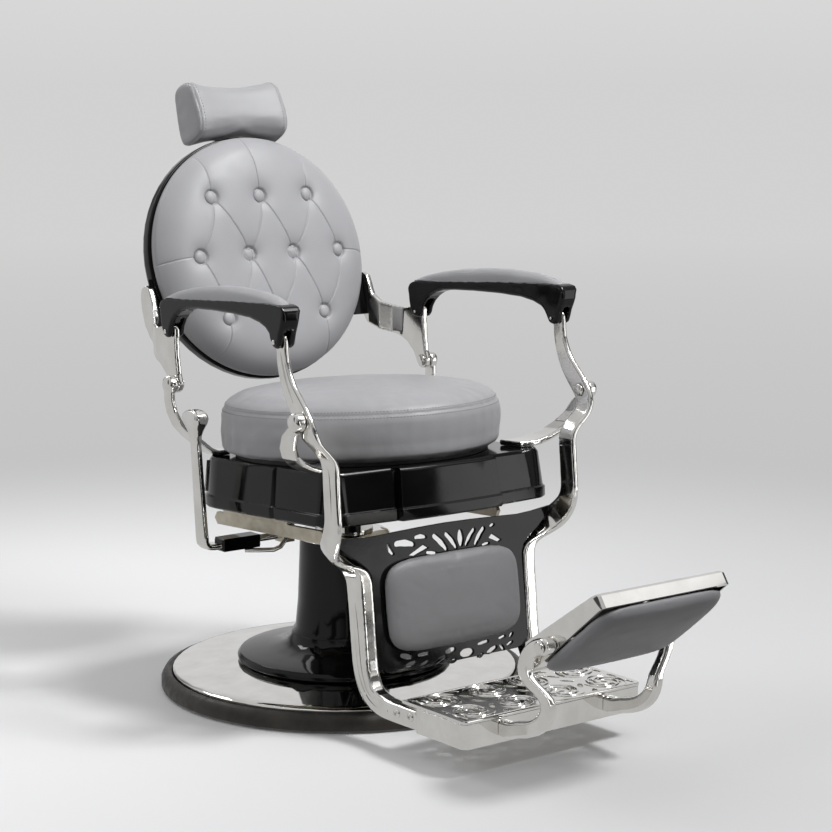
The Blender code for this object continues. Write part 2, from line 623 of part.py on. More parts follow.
def build_back():
    n0, n1 = SHELL_N0, SHELL_N1
    revolve("back_shell", [(0.0, n0 - 0.004), (0.150, n0 - 0.003), (0.205, n0), (SHELL_R - 0.013, n0 + 0.003),
                           (SHELL_R - 0.003, n0 + 0.010), (SHELL_R, n0 + 0.018), (SHELL_R, n1 - 0.002),
                           (SHELL_R - 0.002, n1), (0.0, n1)], BLACK, "back", 56,
            lambda r, a, n: back(BACK_WIDE * r * math.cos(a), r * math.sin(a), n))
    grid = 28
    verts, faces, rim = [], [], []
    for j in range(grid + 1):
        for i in range(grid + 1):
            a, b = 2.0 * i / grid - 1.0, 2.0 * j / grid - 1.0
            x = BACK_R * a * math.sqrt(1.0 - b * b / 2.0)
            s = BACK_R * b * math.sqrt(1.0 - a * a / 2.0)
            verts.append(back(BACK_WIDE * x, s, tuft_height(x, s)))
    row = grid + 1
    for j in range(grid):
        for i in range(grid):
            faces.append([j * row + i, j * row + i + 1, (j + 1) * row + i + 1, (j + 1) * row + i])
    edge = [i for i in range(grid)] + [j * row + grid for j in range(grid)]
    edge += [grid * row + grid - i for i in range(grid)] + [(grid - j) * row for j in range(grid)]
    for i in edge:
        k = (i % row, i // row)
        a, b = 2.0 * k[0] / grid - 1.0, 2.0 * k[1] / grid - 1.0
        x = a * math.sqrt(1.0 - b * b / 2.0)
        s = b * math.sqrt(1.0 - a * a / 2.0)
        rim.append(len(verts))
        verts.append(back(BACK_WIDE * (BACK_R - 0.002) * x, (BACK_R - 0.002) * s, SHELL_N1 + GAP))
    for k in range(len(edge)):
        m = (k + 1) % len(edge)
        faces.append([edge[k], edge[m], rim[m], rim[k]])
    centre = len(verts)
    verts.append(back(0.0, 0.0, SHELL_N1 + GAP))
    faces += [[rim[k], rim[(k + 1) % len(rim)], centre] for k in range(len(rim))]
    solid("back_cushion", verts, faces, LEATHER, "back")

    arm_inset = BACK_ARM_X - BACK_ARM_T / 2 - SHELL_R - LUG_REACH
    ay, az = ARM_REAR
    ry, rz = REAR_PIVOT
    for side, sx in SIDES:
        outline = [(0.2955, 0.735), (0.291, 0.749), (0.278, 0.7565), (0.264, 0.751), (0.2565, 0.736),
                   (0.248, 0.714), (0.232, 0.700), (0.205, 0.692), (0.178, az + 0.0035),
                   (ay + 0.028, az + 0.0075), (ay + 0.014, az + 0.0135), (ay, az + 0.0155),
                   (ay - 0.010, az + 0.012), (ay - 0.0125, az + 0.004), (0.1190, 0.665), (0.1172, 0.635),
                   (0.1130, 0.608), (0.1068, 0.590), (ry - 0.0130, rz - 0.0095),
                   (ry - 0.0065, rz - 0.0148), (ry, rz - 0.0162), (ry + 0.0085, rz - 0.0138),
                   (ry + 0.0150, rz - 0.0065), (0.150, 0.603), (0.172, 0.6215), (0.200, 0.634),
                   (0.232, 0.642), (0.262, 0.656), (0.282, 0.682), (0.292, 0.711)]
        eye = [(REAR_PIVOT[0] + (REAR_STUB_R + GAP) * math.cos(math.tau * k / 14),
                REAR_PIVOT[1] + (REAR_STUB_R + GAP) * math.sin(math.tau * k / 14)) for k in range(14)]
        hole = [(ARM_REAR[0] + (PIN_R + GAP) * math.cos(math.tau * k / 10),
                 ARM_REAR[1] + (PIN_R + GAP) * math.sin(math.tau * k / 10)) for k in range(10)]

        def place(y, z, x, sx=sx):
            return Vector((sx * x, y, z))
        arm = prism("back_arm_" + side, [outline, eye, hole], place, BACK_ARM_X - BACK_ARM_T / 2,
                    BACK_ARM_X + BACK_ARM_T / 2, CHROME, "back")
        bend_inward(arm, sx, 0.184, 0.256, arm_inset)
        inner = SHELL_R + LUG_REACH - GAP
        cuts = []
        for s in (-0.030, -0.055, -0.080, -0.105, -0.128):
            rim_x = BACK_WIDE * math.sqrt((SHELL_R + 0.0006) ** 2 - s * s)
            cuts.append([back(sx * rim_x, s, SHELL_N0 + 0.027), back(sx * inner, s, SHELL_N0 + 0.027),
                         back(sx * inner, s, SHELL_N1 - 0.003), back(sx * rim_x, s, SHELL_N1 - 0.003)])
        loft("back_lug_" + side, cuts, BLACK, "back")


# Headrest on a sliding post
def build_headrest():
    section = [(-0.0125, 0.2640), (-0.0170, 0.2500), (-0.0340, 0.2385), (-0.0600, 0.2325), (-0.0880, 0.2325),
               (-0.0975, 0.238), (-0.1015, 0.252), (-0.1025, 0.290), (-0.1015, 0.330), (-0.0985, 0.345),
               (-0.088, 0.352), (-0.065, 0.3550), (-0.044, 0.353), (-0.0315, 0.344), (-0.0215, 0.318),
               (-0.0145, 0.289)]
    rings = []
    for x, shrink in ((-1.045, 0.80), (-1.0, 1.0), (-0.93, 1.0), (-0.7, 1.0), (-0.45, 1.0), (-0.2, 1.0),
                      (0.0, 1.0), (0.2, 1.0), (0.45, 1.0), (0.7, 1.0), (0.93, 1.0), (1.0, 1.0),
                      (1.045, 0.80)):
        waist = max(0.0, 1.0 - x * x)
        ring = []
        for n, s in section:
            if s > 0.31:
                s -= 0.011 * waist * (s - 0.31) / 0.0435
            if s < 0.27:
                s += 0.015 * waist * (0.27 - s) / 0.0355
            if n > -0.05:
                n -= 0.007 * waist * (n + 0.05) / 0.0371
            along = HEADREST_S + (s - HEADREST_SECTION[0]) * shrink
            out = HEADREST_SECTION[1] + (n - HEADREST_SECTION[1]) * shrink
            ring.append(back(x * HEADREST_HALF, along, out))
        rings.append(ring)
    loft("headrest_cushion", rings, LEATHER, "headrest")
    w, n1 = POST_W / 2, -0.1025 - GAP
    box("headrest_post", (-w, w), (-0.020, 0.325), (n1 - POST_T, n1), CHROME, "headrest", back)
    slot = 0.0004
    wide, low, high = w + slot, n1 - POST_T - slot, n1 + slot
    hole = [(-wide, low), (wide, low), (wide, high), (-wide, high)]
    wide, low, high = w + 0.012, n1 - POST_T - 0.010, SHELL_N0 - 0.0048
    outline = [(-wide, low), (wide, low), (wide, high), (-wide, high)]
    prism("headrest_guide", [outline, hole], lambda x, n, s: back(x, s, n), 0.030, 0.120, BLACK, "back")
    base = n1 - POST_T - 0.010 - GAP

    def place(r, a, n):
        return back(r * math.cos(a), 0.075 + r * math.sin(a), n)
    revolve("headrest_knob", [(0.0, base), (0.008, base), (0.008, base - 0.010), (0.017, base - 0.012),
                              (0.019, base - 0.022), (0.015, base - 0.028), (0.0, base - 0.029)], BLACK,
            "back", 16, place)


# Armrests
ARM_TOP = [(ARM_Y1, 0.732), (ARM_Y1 - 0.005, 0.740), (ARM_Y1 - 0.015, 0.7450), (0.0, 0.7546),
           (-0.120, 0.7622), (-0.220, 0.7668), (ARM_Y0 + 0.016, 0.7668), (ARM_Y0 + 0.005, 0.764),
           (ARM_Y0, 0.757)]


def arm_top(y):
    for (ya, za), (yb, zb) in zip(ARM_TOP, ARM_TOP[1:]):
        if yb <= y <= ya:
            return za + (zb - za) * (ya - y) / (ya - yb)
    return ARM_TOP[-1][1]


def arm_x(y):
    """Inner and outer X of the armrest at y: it spreads towards the front."""
    t = (ARM_Y1 - y) / (ARM_Y1 - ARM_Y0)
    return [a + (b - a) * t for a, b in zip(ARM_X_REAR, ARM_X_FRONT)]


def build_arms():
    ry, rz = ARM_REAR
    fy, fz = ARM_FRONT
    outline = ARM_TOP + [(ARM_Y0, 0.742), (ARM_Y0 + 0.0045, 0.730), (ARM_Y0 + 0.0095, 0.719),
                         (fy - 0.0170, fz + 0.003), (fy - 0.0130, fz - 0.0075), (fy - 0.0040, fz - 0.0120),
                         (fy + 0.0070, fz - 0.0095), (fy + 0.0135, fz), (fy + 0.0180, fz + 0.0115),
                         (-0.225, 0.7235), (-0.203, 0.7310), (-0.170, 0.7365), (-0.110, 0.7388),
                         (-0.035, 0.7382), (0.020, 0.7362), (0.052, 0.7335), (0.074, 0.7275),
                         (0.091, 0.7185), (0.1045, 0.7065), (ry - 0.0185, rz + 0.0090),
                         (ry - 0.0150, rz - 0.0030), (ry - 0.0090, rz - 0.0098), (ry, rz - 0.0118),
                         (ry + 0.0100, rz - 0.0080), (ry + 0.0170, rz + 0.0040), (ARM_Y1 - 0.002, 0.705),
                         (ARM_Y1, 0.720)]

    def even(x, y):
        """The frame is cut while it is straight, from -ARM_HALF to ARM_HALF, then spread to its place."""
        x0, x1 = arm_x(y)
        return (2.0 * x - x0 - x1) / (x1 - x0) * ARM_HALF
    rings = []
    for x, inset in ((-ARM_HALF, 0.004), (0.004 - ARM_HALF, 0.0), (ARM_HALF - 0.004, 0.0), (ARM_HALF, 0.004)):
        ring = []
        for i, (y, z) in enumerate(outline):
            ay, az = outline[i - 1]
            by, bz = outline[(i + 1) % len(outline)]
            dy, dz = by - ay, bz - az
            size = math.hypot(dy, dz)
            keep = inset if i >= len(ARM_TOP) else 0.0
            ring.append(Vector((x, y - keep * dz / size, z + keep * dy / size)))
        rings.append(ring)
    arm = loft("arm_frame_left", rings, BLACK, "arm_left")
    for at, x, half, y, z in ((fy, LEVER_X, LEVER_T / 2 + 0.0016, (-0.330, fy + 0.036), fz + 0.0215),
                              (ry, BACK_ARM_X, BACK_ARM_T / 2 + 0.0020, (ry - 0.055, 0.180), rz + 0.0275)):
        tool = box("tool", (even(x - half, at), even(x + half, at)), y, (0.660, z), BLACK, "arm_left")
        combine(arm, tool, "DIFFERENCE")
    for pivot in (ARM_REAR, ARM_FRONT):
        bore_x(arm, pivot, PIN_R + GAP, -0.03, 0.03, 1.0, "arm_left", 10)
    origin = BODIES["arm_left"][1]
    for v in arm.data.vertices:
        x0, x1 = arm_x(v.co.y + origin.y)
        v.co.x = (x0 + x1) / 2 + (v.co.x + origin.x) / ARM_HALF * (x1 - x0) / 2 - origin.x
    mirrored("arm_frame_right", arm, BLACK, "arm_left", "arm_right")
    for side, sx in SIDES:
        body = "arm_" + side
        for where, pivot in (("rear", ARM_REAR), ("front", ARM_FRONT)):
            x0, x1 = arm_x(pivot[0])
            turned_x("arm_pin_%s_%s" % (where, side),
                     [(0.0, x0 - 0.0025), (PIN_R * 0.8, x0 - 0.0020), (PIN_R, x0 - 0.0008),
                      (PIN_R, x1 + GAP), (0.0045, x1 + GAP), (0.0042, x1 + 0.0020), (0.0, x1 + 0.0030)],
                     pivot, sx, CHROME, body, 10)
        rings = []
        count = 10
        shares = [i / count - math.sin(math.tau * i / count) / 9.0 for i in range(count + 1)]
        stops = [PAD_Y1 + (PAD_Y0 - PAD_Y1) * share for share in shares]
        stops += [y for y, z in ARM_TOP if PAD_Y0 + 0.004 < y < PAD_Y1 - 0.004]
        for y in sorted(stops, reverse=True):
            t = (PAD_Y1 - y) / (PAD_Y1 - PAD_Y0)
            z = arm_top(y) + GAP
            bulge = max(0.0, 1.0 - (2.0 * t - 1.0) ** 2)
            high = 0.003 + ARM_PAD_H * bulge ** 0.8
            x0, x1 = arm_x(y)
            mid_x = (x0 + x1) / 2
            half = (x1 - x0) / 2 * (0.58 + 0.42 * bulge ** 0.35)
            ring = [Vector((sx * (mid_x + half * (2 * k / 4 - 1)), y, z)) for k in range(5)]
            for u, h in ((1.03, 0.22), (1.00, 0.45), (0.88, 0.72), (0.60, 0.92), (0.20, 1.0), (-0.20, 1.0),
                         (-0.60, 0.92), (-0.88, 0.72), (-1.00, 0.45), (-1.03, 0.22)):
                ring.append(Vector((sx * (mid_x + half * u), y, z + high * h)))
            rings.append(ring)
        loft("arm_pad_" + side, rings, LEATHER, body)


# Levers, leg panel and footplate
LEVER_IN = LEVER_X - LEVER_T / 2
LEVER_OUT = LEVER_X + LEVER_T / 2
LEVER_PATH = [
    (-0.2565, 0.7190, LEVER_IN, LEVER_OUT, 0.0065), (-0.2565, 0.7135, LEVER_IN, LEVER_OUT, 0.0115),
    (-0.2570, 0.7032, LEVER_IN, LEVER_OUT, 0.0145), (-0.2585, 0.6850, LEVER_IN, LEVER_OUT, 0.0146),
    (-0.2612, 0.6650, LEVER_IN, LEVER_OUT, 0.0150), (-0.2680, 0.6450, LEVER_IN, LEVER_OUT, 0.0162),
    (-0.2785, 0.6240, LEVER_IN, LEVER_OUT, 0.0178), (-0.2945, 0.6040, LEVER_IN, LEVER_OUT, 0.0198),
    (-0.3130, 0.5840, LEVER_IN, LEVER_OUT, 0.0208), (-0.3260, 0.5665, LEVER_IN, LEVER_OUT, 0.0212),
    (-0.3330, 0.5500, 0.3052, 0.3170, 0.0210), (-0.3345, 0.5360, 0.2965, 0.3100, 0.0208),
    (-0.3335, 0.5200, 0.2790, 0.2945, 0.0206), (-0.3330, 0.5060, 0.2680, 0.2815, 0.0204),
    (-0.3332, 0.4900, 0.2622, 0.2750, 0.0203), (-0.3350, 0.4600, 0.2620, 0.2750, 0.0202),
    (-0.3375, 0.4250, 0.2625, 0.2750, 0.0204), (-0.3395, 0.3980, 0.2625, 0.2750, 0.0208),
    (-0.3345, 0.3720, 0.2610, 0.2750, 0.0218), (-0.3200, 0.3500, 0.2540, 0.2715, 0.0235),
    (-0.3070, 0.3330, 0.2370, 0.2600, 0.0245), (-0.3000, 0.3160, 0.2090, 0.2380, 0.0245),
    (-0.2990, 0.3000, 0.1845, 0.2125, 0.0235), (-0.3012, 0.2840, 0.1745, 0.2025, 0.0228),
    (-0.3030, 0.2680, LEG_X0 + 0.0004, LEG_X1 + 0.0004, 0.0225), (-0.3060, 0.2400, LEG_X0, LEG_X1, 0.0224),
    (-0.3095, 0.2100, LEG_X0, LEG_X1, 0.0224), (-0.3165, 0.1400, LEG_X0, LEG_X1, 0.0220),
    (-0.3255, 0.1080, LEG_X0, LEG_X1, 0.0210), (-0.3420, 0.0840, LEG_X0, LEG_X1, 0.0200),
    (-0.3700, 0.0725, LEG_X0, LEG_X1, 0.0185), (-0.4100, 0.0695, LEG_X0, LEG_X1, 0.0175),
    (-0.4795, 0.0700, LEG_X0, LEG_X1, 0.0170)]


def leaf(x, t, length, width, turn, count=8):
    """Pointed oval hole centred at x, t and turned from upright."""
    c, s = math.cos(turn), math.sin(turn)
    pts = []
    for k in range(count):
        a = math.tau * k / count
        u, v = width / 2 * math.cos(a) * abs(math.cos(a)) ** 0.2, length / 2 * math.sin(a)
        pts.append((x + c * u + s * v, t - s * u + c * v))
    return pts


# Openwork of the panel, mirrored about its middle: across, up, length, width, turn in degrees
PANEL_LEAVES = (
    (0.019, -0.027, 0.032, 0.009, 22), (0.038, -0.026, 0.034, 0.009, 38), (0.062, -0.037, 0.015, 0.009, 75),
    (0.084, -0.032, 0.034, 0.009, 52), (0.072, -0.012, 0.020, 0.008, 88), (0.104, -0.016, 0.032, 0.009, 95),
    (0.128, -0.030, 0.022, 0.009, -25), (0.032, -0.231, 0.022, 0.007, 60), (0.060, -0.2315, 0.024, 0.009, 70),
    (0.090, -0.236, 0.020, 0.008, 110), (0.092, -0.224, 0.018, 0.006, 80), (0.116, -0.236, 0.020, 0.008, 80),
    (0.117, -0.223, 0.018, 0.007, 100))


def panel_holes():
    holes = [leaf(0.0, -0.026, 0.032, 0.011, 0.0)]
    for sx in (1, -1):
        for x, t, length, width, turn in PANEL_LEAVES:
            holes.append(leaf(sx * x, t, length, width, sx * math.radians(turn)))
    holes.append(leaf(0.0, -0.231, 0.016, 0.026, 0.0, 12))
    return holes


def build_legrest():
    for side, sx in SIDES:
        lever = side_bar("front_lever_" + side, smooth_path(LEVER_PATH, 2), sx, CHROME, "legrest")
        bore_x(lever, FRONT_PIVOT, FRONT_STUB_R + GAP, 0.28, 0.345, sx, "legrest", 14)
        bore_x(lever, ARM_FRONT, PIN_R + 0.0022, 0.28, 0.345, sx, "legrest", 12)
    edge = LEG_X0 - GAP
    half = [(0.0, -PANEL_H), (0.142, -PANEL_H), (0.156, -PANEL_H + 0.004), (edge, -PANEL_H + 0.020),
            (edge, -0.079), (0.1728, -0.070), (0.179, -0.058), (0.195, -0.045), (0.2175, -0.030),
            (0.2345, -0.016), (0.2445, -0.004), (0.2465, 0.004), (0.205, -0.001), (0.170, -0.003),
            (0.120, -0.001), (0.060, 0.001), (0.0, 0.002)]
    outline = half + [(-x, t) for x, t in reversed(half[1:-1])]
    prism("leg_panel", [outline] + panel_holes(), panel, -PANEL_T / 2, PANEL_T / 2, BLACK, "legrest")
    lift = PANEL_T / 2 + GAP
    pad("leg_pad", lambda u, v, h: panel(u, v - 0.1325, h), LEG_PAD_A, LEG_PAD_B, 5.0,
        [(0.006, lift), (0.001, lift + 0.004), (0.0, lift + 0.009), (0.004, lift + 0.014),
         (0.013, lift + 0.0185), (0.030, lift + 0.0215), (0.052, lift + 0.023), (0.070, lift + 0.0235)],
        40, LEATHER, "legrest")

    x1, x0 = LEG_X1, LEG_X0 - GAP
    join = -0.4798
    outline = [(-x1 + 0.008, FOOT_Y0), (x1 - 0.008, FOOT_Y0), (x1, FOOT_Y0 + 0.008), (x1, join), (x0, join),
               (x0, FOOT_Y1), (-x0, FOOT_Y1), (-x0, join), (-x1, join), (-x1, FOOT_Y0 + 0.008)]
    hole = [(-0.158, FOOT_Y0 + 0.012), (0.158, FOOT_Y0 + 0.012), (0.158, FOOT_Y1 - 0.012),
            (-0.158, FOOT_Y1 - 0.012)]
    prism("footplate_frame", [outline, hole], lambda x, y, z: Vector((x, y, z)), FOOT_Z0, FOOT_Z1, CHROME,
          "legrest")
    holes = []
    for row, y in enumerate((-0.585, -0.554, -0.525, -0.496, -0.465)):
        for col in range(-3, 4):
            shift = 0.0 if row % 2 == 0 else 0.024
            x = col * 0.048 + shift
            if abs(x) > 0.165:
                continue
            turn = math.radians(40 if (row + col) % 2 else -40)
            holes.append(leaf(x, y, 0.030, 0.013, turn, 6))
    outline = [(-x1 + 0.008, FOOT_Y0), (x1 - 0.008, FOOT_Y0), (x1, FOOT_Y0 + 0.008), (x1, FOOT_Y1),
               (-x1, FOOT_Y1), (-x1, FOOT_Y0 + 0.008)]
    low = FOOT_Z1 + GAP
    prism("footplate_grille", [outline] + holes, lambda x, y, z: Vector((x, y, z)), low, low + GRILLE_T,
          CHROME, "legrest")


# Flip footrest on two gooseneck brackets
def build_flip():
    py, pz = FLIP_PIVOT
    x0 = FLIP_HALF + 0.001
    near = (x0, x0 + GOOSE_T)

    def span(inset, thick):
        return FLIP_HALF - inset, FLIP_HALF - inset + thick
    low = span(0.034, 0.020)
    path = [(FOOT_Y0 - GAP, 0.0755, *low, 0.0140), (-0.621, 0.0755, *low, 0.0140),
            (-0.636, 0.0770, *low, 0.0140), (-0.654, 0.0825, *low, 0.0140), (-0.676, 0.0880, *low, 0.0138),
            (-0.699, 0.0985, *low, 0.0132), (-0.7165, 0.1150, *low, 0.0128),
            (-0.7240, 0.1330, *span(0.033, 0.020), 0.0125),
            (-0.7230, 0.1520, *span(0.0275, 0.0195), 0.0120),
            (-0.7195, 0.1700, *span(0.0120, 0.0195), 0.0115),
            (-0.7150, 0.1860, *span(-0.0015, 0.020), 0.0110),
            (-0.7125, 0.2020, *span(-0.0075, 0.020), 0.0110),
            (-0.7140, 0.2180, *span(-0.007, 0.020), 0.0112),
            (-0.7225, 0.2335, *span(-0.004, 0.021), 0.0120), (-0.7370, 0.2450, *near, 0.0135),
            (py, pz, *near, 0.0145), (py - 0.0105, pz + 0.0030, *near, 0.0112),
            (py - 0.0155, pz + 0.0045, *near, 0.0050)]
    for side, sx in SIDES:
        goose = side_bar("gooseneck_" + side, smooth_path(path, 2), sx, CHROME, "legrest", 0.0035)
        bore_x(goose, FLIP_PIVOT, FLIP_STUB_R + GAP, near[0] - 0.01, near[1] + 0.01, sx, "legrest", 12)
        outer = near[1] + 0.001
        turned_x("flip_bolt_" + side, [(0.0, outer), (0.0105, outer), (0.0105, outer + 0.004),
                                       (0.008, outer + 0.006), (0.0, outer + 0.006)], FLIP_PIVOT, sx,
                 CHROME, "flip", 12)

    mid = (FLIP_FRONT + FLIP_REAR) / 2

    def under(u):
        return FLIP_TOP - 0.026 - (FLIP_FRONT - u) * 0.0995
    outline = [(FLIP_REAR, FLIP_TOP - 0.007), (FLIP_REAR + 0.006, FLIP_TOP),
               (FLIP_FRONT - 0.005, FLIP_TOP), (FLIP_FRONT, FLIP_TOP - 0.005),
               (FLIP_FRONT, under(FLIP_FRONT)), (FLIP_REAR + 0.006, under(FLIP_REAR + 0.006)),
               (FLIP_REAR, under(FLIP_REAR) + 0.006)]
    rings = []
    corner = [(FLIP_HALF, FLIP_ROUND), (FLIP_HALF - 0.29 * FLIP_ROUND, 0.29 * FLIP_ROUND),
              (FLIP_HALF - FLIP_ROUND, 0.0)]
    for x, inset in [(-x, inset) for x, inset in corner] + corner[::-1]:
        ring = []
        for u, v in outline:
            front = inset if u > mid else 0.0
            ring.append(flip(x, u - front, v))
        rings.append(ring)
    tray = loft("flip_tray", rings, CHROME, "flip")
    wall = 0.006
    rear = FLIP_REAR + 0.055
    outline = [(rear, FLIP_TOP - wall), (FLIP_FRONT - wall, FLIP_TOP - wall), (FLIP_FRONT - wall, -0.060),
               (rear, -0.060)]
    tool = prism("tool", [outline], lambda u, v, x: flip(x, u, v), wall - FLIP_HALF, FLIP_HALF - wall,
                 CHROME, "flip")
    combine(tray, tool, "DIFFERENCE")
    for sx in (1.0, -1.0):
        stub = turned_x("stub", [(0.0, FLIP_HALF - 0.008), (FLIP_STUB_R, FLIP_HALF - 0.008),
                                 (FLIP_STUB_R, near[1] + 0.0007), (0.0, near[1] + 0.0007)], FLIP_PIVOT, sx,
                        CHROME, "flip", 12)
        combine(tray, stub, "UNION")

    def place(u, v, h):
        w = mid + v
        return flip(u, w, under(w) - GAP - h)
    pad("flip_pad", place, FLIP_HALF - FLIP_PAD_INSET, (FLIP_FRONT - FLIP_REAR) / 2 - FLIP_PAD_INSET, 6.0,
        [(0.004, 0.0), (0.0, 0.003), (0.002, 0.008), (0.008, 0.014), (0.020, 0.0195), (0.040, 0.0235),
         (0.062, 0.0255), (0.085, 0.0262)], 36, LEATHER, "flip")


# Pump lever
def build_pump():
    y, z = PUMP_AXIS
    x = PUMP_X
    knob = [(0.5500, 0.006, 0.004), (0.5470, 0.017, 0.010), (0.5410, 0.0245, 0.0140),
            (0.5330, 0.0270, 0.0155), (0.5240, 0.0245, 0.0140), (0.5130, 0.0180, 0.0100),
            (0.5020, 0.0140, 0.0070)]
    t = 0.0055
    stations = [(x, y + 0.018, height, half, thick) for height, half, thick in knob]
    stations += [(x, y + 0.017, 0.4850, 0.0125, t), (x, y + 0.011, 0.4200, 0.0135, t),
                 (x, y + 0.004, 0.3500, 0.0150, t), (x, y, 0.3150, 0.0160, t),
                 (x + 0.0015, y, z + 0.006, 0.0160, t), (x + 0.008, y, z - 0.0005, 0.0160, t),
                 (x + 0.018, y, z - 0.002, 0.0155, t), (-0.2603, y, z - 0.002, 0.0150, t)]
    strap("pump_lever", stations, CHROME, "pump")
    inner = -0.176
    rings = []
    for cx, c in ((-0.2600, 0.003), (-0.2570, 0.0), (inner - 0.003, 0.0), (inner, 0.003)):
        section = [(-0.016 + c, -0.013 + c), (0.016 - c, -0.013 + c), (0.016 - c, 0.011 - c),
                   (-0.016 + c, 0.011 - c)]
        rings.append([Vector((cx, y + a, z + b)) for a, b in section])
    loft("lever_clamp", rings, BLACK, "pump")
    bearing_x = (-0.125, -0.100)
    turned_x("pump_shaft", [(0.0, inner + GAP), (SHAFT_R, inner + GAP), (SHAFT_R, bearing_x[1] + 0.002),
                            (0.0, bearing_x[1] + 0.002)], PUMP_AXIS, 1.0, CHROME, "pump", 14)
    corners = [(bearing_x[0], y - 0.015), (bearing_x[1], y - 0.015), (bearing_x[1], y + 0.015),
               (bearing_x[0], y + 0.015)]
    rings = [[Vector((a, b, z - 0.013)) for a, b in corners],
             [Vector((a, b, under_plate(b, GAP))) for a, b in corners]]
    bearing = loft("pump_bearing", rings, ZINC, "swivel")
    bore_x(bearing, PUMP_AXIS, SHAFT_R + GAP, bearing_x[0] - 0.01, bearing_x[1] + 0.01, 1.0, "swivel", 14)
    rod("lever_rod", [(-0.205, y - 0.004, z - 0.0178), (-0.185, y - 0.020, z - 0.0178),
                      (-0.160, y - 0.034, z - 0.0178), (-0.148, y - 0.038, z - 0.013),
                      (-0.138, y - 0.040, z), (-0.130, y - 0.041, z + 0.016)], 0.0045, CHROME, "pump")


def add_headrest_body():
    """The headrest slides along the back, so its axis lies in the back's plane."""
    add_body("headrest", "back", back(0.0, 0.294, -0.106))


add_headrest_body()
build_base()
build_mount()
build_seat()
build_brackets()
build_back()
build_headrest()
build_arms()
build_legrest()
build_flip()
build_pump()
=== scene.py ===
"""Barber chair: grey tufted leatherette, gloss black and chrome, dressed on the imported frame.

Metres, +Z up, the chair faces -Y. Left is the sitter's left, +X.
"""
import json
import math

import bpy
import bmesh
import numpy as np
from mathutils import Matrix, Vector


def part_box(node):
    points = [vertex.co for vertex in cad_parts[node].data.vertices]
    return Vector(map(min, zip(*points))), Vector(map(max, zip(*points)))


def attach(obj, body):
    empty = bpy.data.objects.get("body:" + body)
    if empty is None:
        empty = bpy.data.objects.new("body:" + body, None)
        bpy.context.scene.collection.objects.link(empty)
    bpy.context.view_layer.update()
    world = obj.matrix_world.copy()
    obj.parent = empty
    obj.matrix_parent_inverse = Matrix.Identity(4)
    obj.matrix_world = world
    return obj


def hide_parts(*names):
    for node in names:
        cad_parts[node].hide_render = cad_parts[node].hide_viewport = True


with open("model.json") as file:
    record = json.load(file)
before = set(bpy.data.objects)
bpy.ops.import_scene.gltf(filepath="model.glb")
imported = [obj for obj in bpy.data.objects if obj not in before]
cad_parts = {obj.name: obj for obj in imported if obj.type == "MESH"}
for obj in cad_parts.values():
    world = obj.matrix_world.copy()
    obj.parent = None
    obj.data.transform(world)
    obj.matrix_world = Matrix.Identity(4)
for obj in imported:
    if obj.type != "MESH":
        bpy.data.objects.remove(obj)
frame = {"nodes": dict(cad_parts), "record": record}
NODES = frame["nodes"]
SLOT_OF = {part["node"]: part["material_slot"] for part in frame["record"]["subparts"]}
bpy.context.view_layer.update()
SIDES = (("left", 1.0), ("right", -1.0))

# Camera of the photograph
CAM_POS = Vector((-2.3764, -3.2709, 1.134))
CAM_HEADING = math.radians(37.944)
CAM_PITCH = math.radians(8.703)
CAM_LENS = 93.73

# Studio
FLOOR_TONE = (0.73, 0.73, 0.735)
FLOOR_REACH = 400.0
BACKDROP_NEAR = 0.550
BACKDROP_LOW = 0.640
BACKDROP_HIGH = 0.740
FLOOR_FADE = (1.0, 2.8)
WALL_FADE = (2.5, 12.0)
SKY = (0.57, 0.57, 0.575, 1.0)
BOUNCE = (0.20, 0.20, 0.20, 1.0)
SUN_ENERGY = 1.55
SUN_SPREAD = math.radians(12)
SUN_WAY = Vector((-0.34, 0.42, -0.84))
KEY_SPREAD = math.radians(66)
FRONT_WAY = Vector((0.10, -0.995, 0.0))
FRONT_RANGE = (0.40, 0.80)
FRONT_BRIGHT = (0.46, 0.46, 0.465, 1.0)
FRONT_DARK = (0.035, 0.035, 0.036, 1.0)
SKY_RANGE = (0.36, 0.80)
BOUNCE_RANGE = (-0.16, -0.60)
BACKDROP_RISE = (0.0, 0.09)
# Shade of the studio's walls by their turn round the chair: 0 is -X, 0.25 is -Y, 0.5 is +X
WALL_STRIPS = ((0.001, 1.2), (0.050, 1.2), (0.065, 0.12), (0.085, 0.12), (0.100, 1.3), (0.405, 1.0),
               (0.42, 0.1), (0.52, 0.1), (0.54, 1.0), (0.60, 1.5), (0.70, 1.5), (0.74, 0.30), (0.78, 1.2),
               (0.92, 1.2), (0.94, 0.12), (0.965, 0.12), (0.98, 1.2))
# Bright bands in front that only mirrors see, on the floor and low on the wall, by the same turn
FLOOR_BANDS = ((0.262, 0.0), (0.266, 1.0), (0.293, 1.0), (0.297, 0.0),
               (0.339, 0.0), (0.343, 1.0), (0.390, 1.0), (0.394, 0.0))
WALL_BANDS = ((0.268, 0.0), (0.272, 1.0), (0.300, 1.0), (0.304, 0.0),
              (0.347, 0.0), (0.351, 1.0), (0.398, 1.0), (0.402, 0.0))
BAND_GLOW = 1.9
FLOOR_BAND_START = (-1.5, -1.2)
WALL_BAND_TOP = (0.22, 0.30)
# The floor as mirrors see it: dark far in front of the chair, light near it, by y
MIRROR_FLOOR_Y = (-2.1, -1.0)
MIRROR_FLOOR_GLOW = (0.03, 0.54)

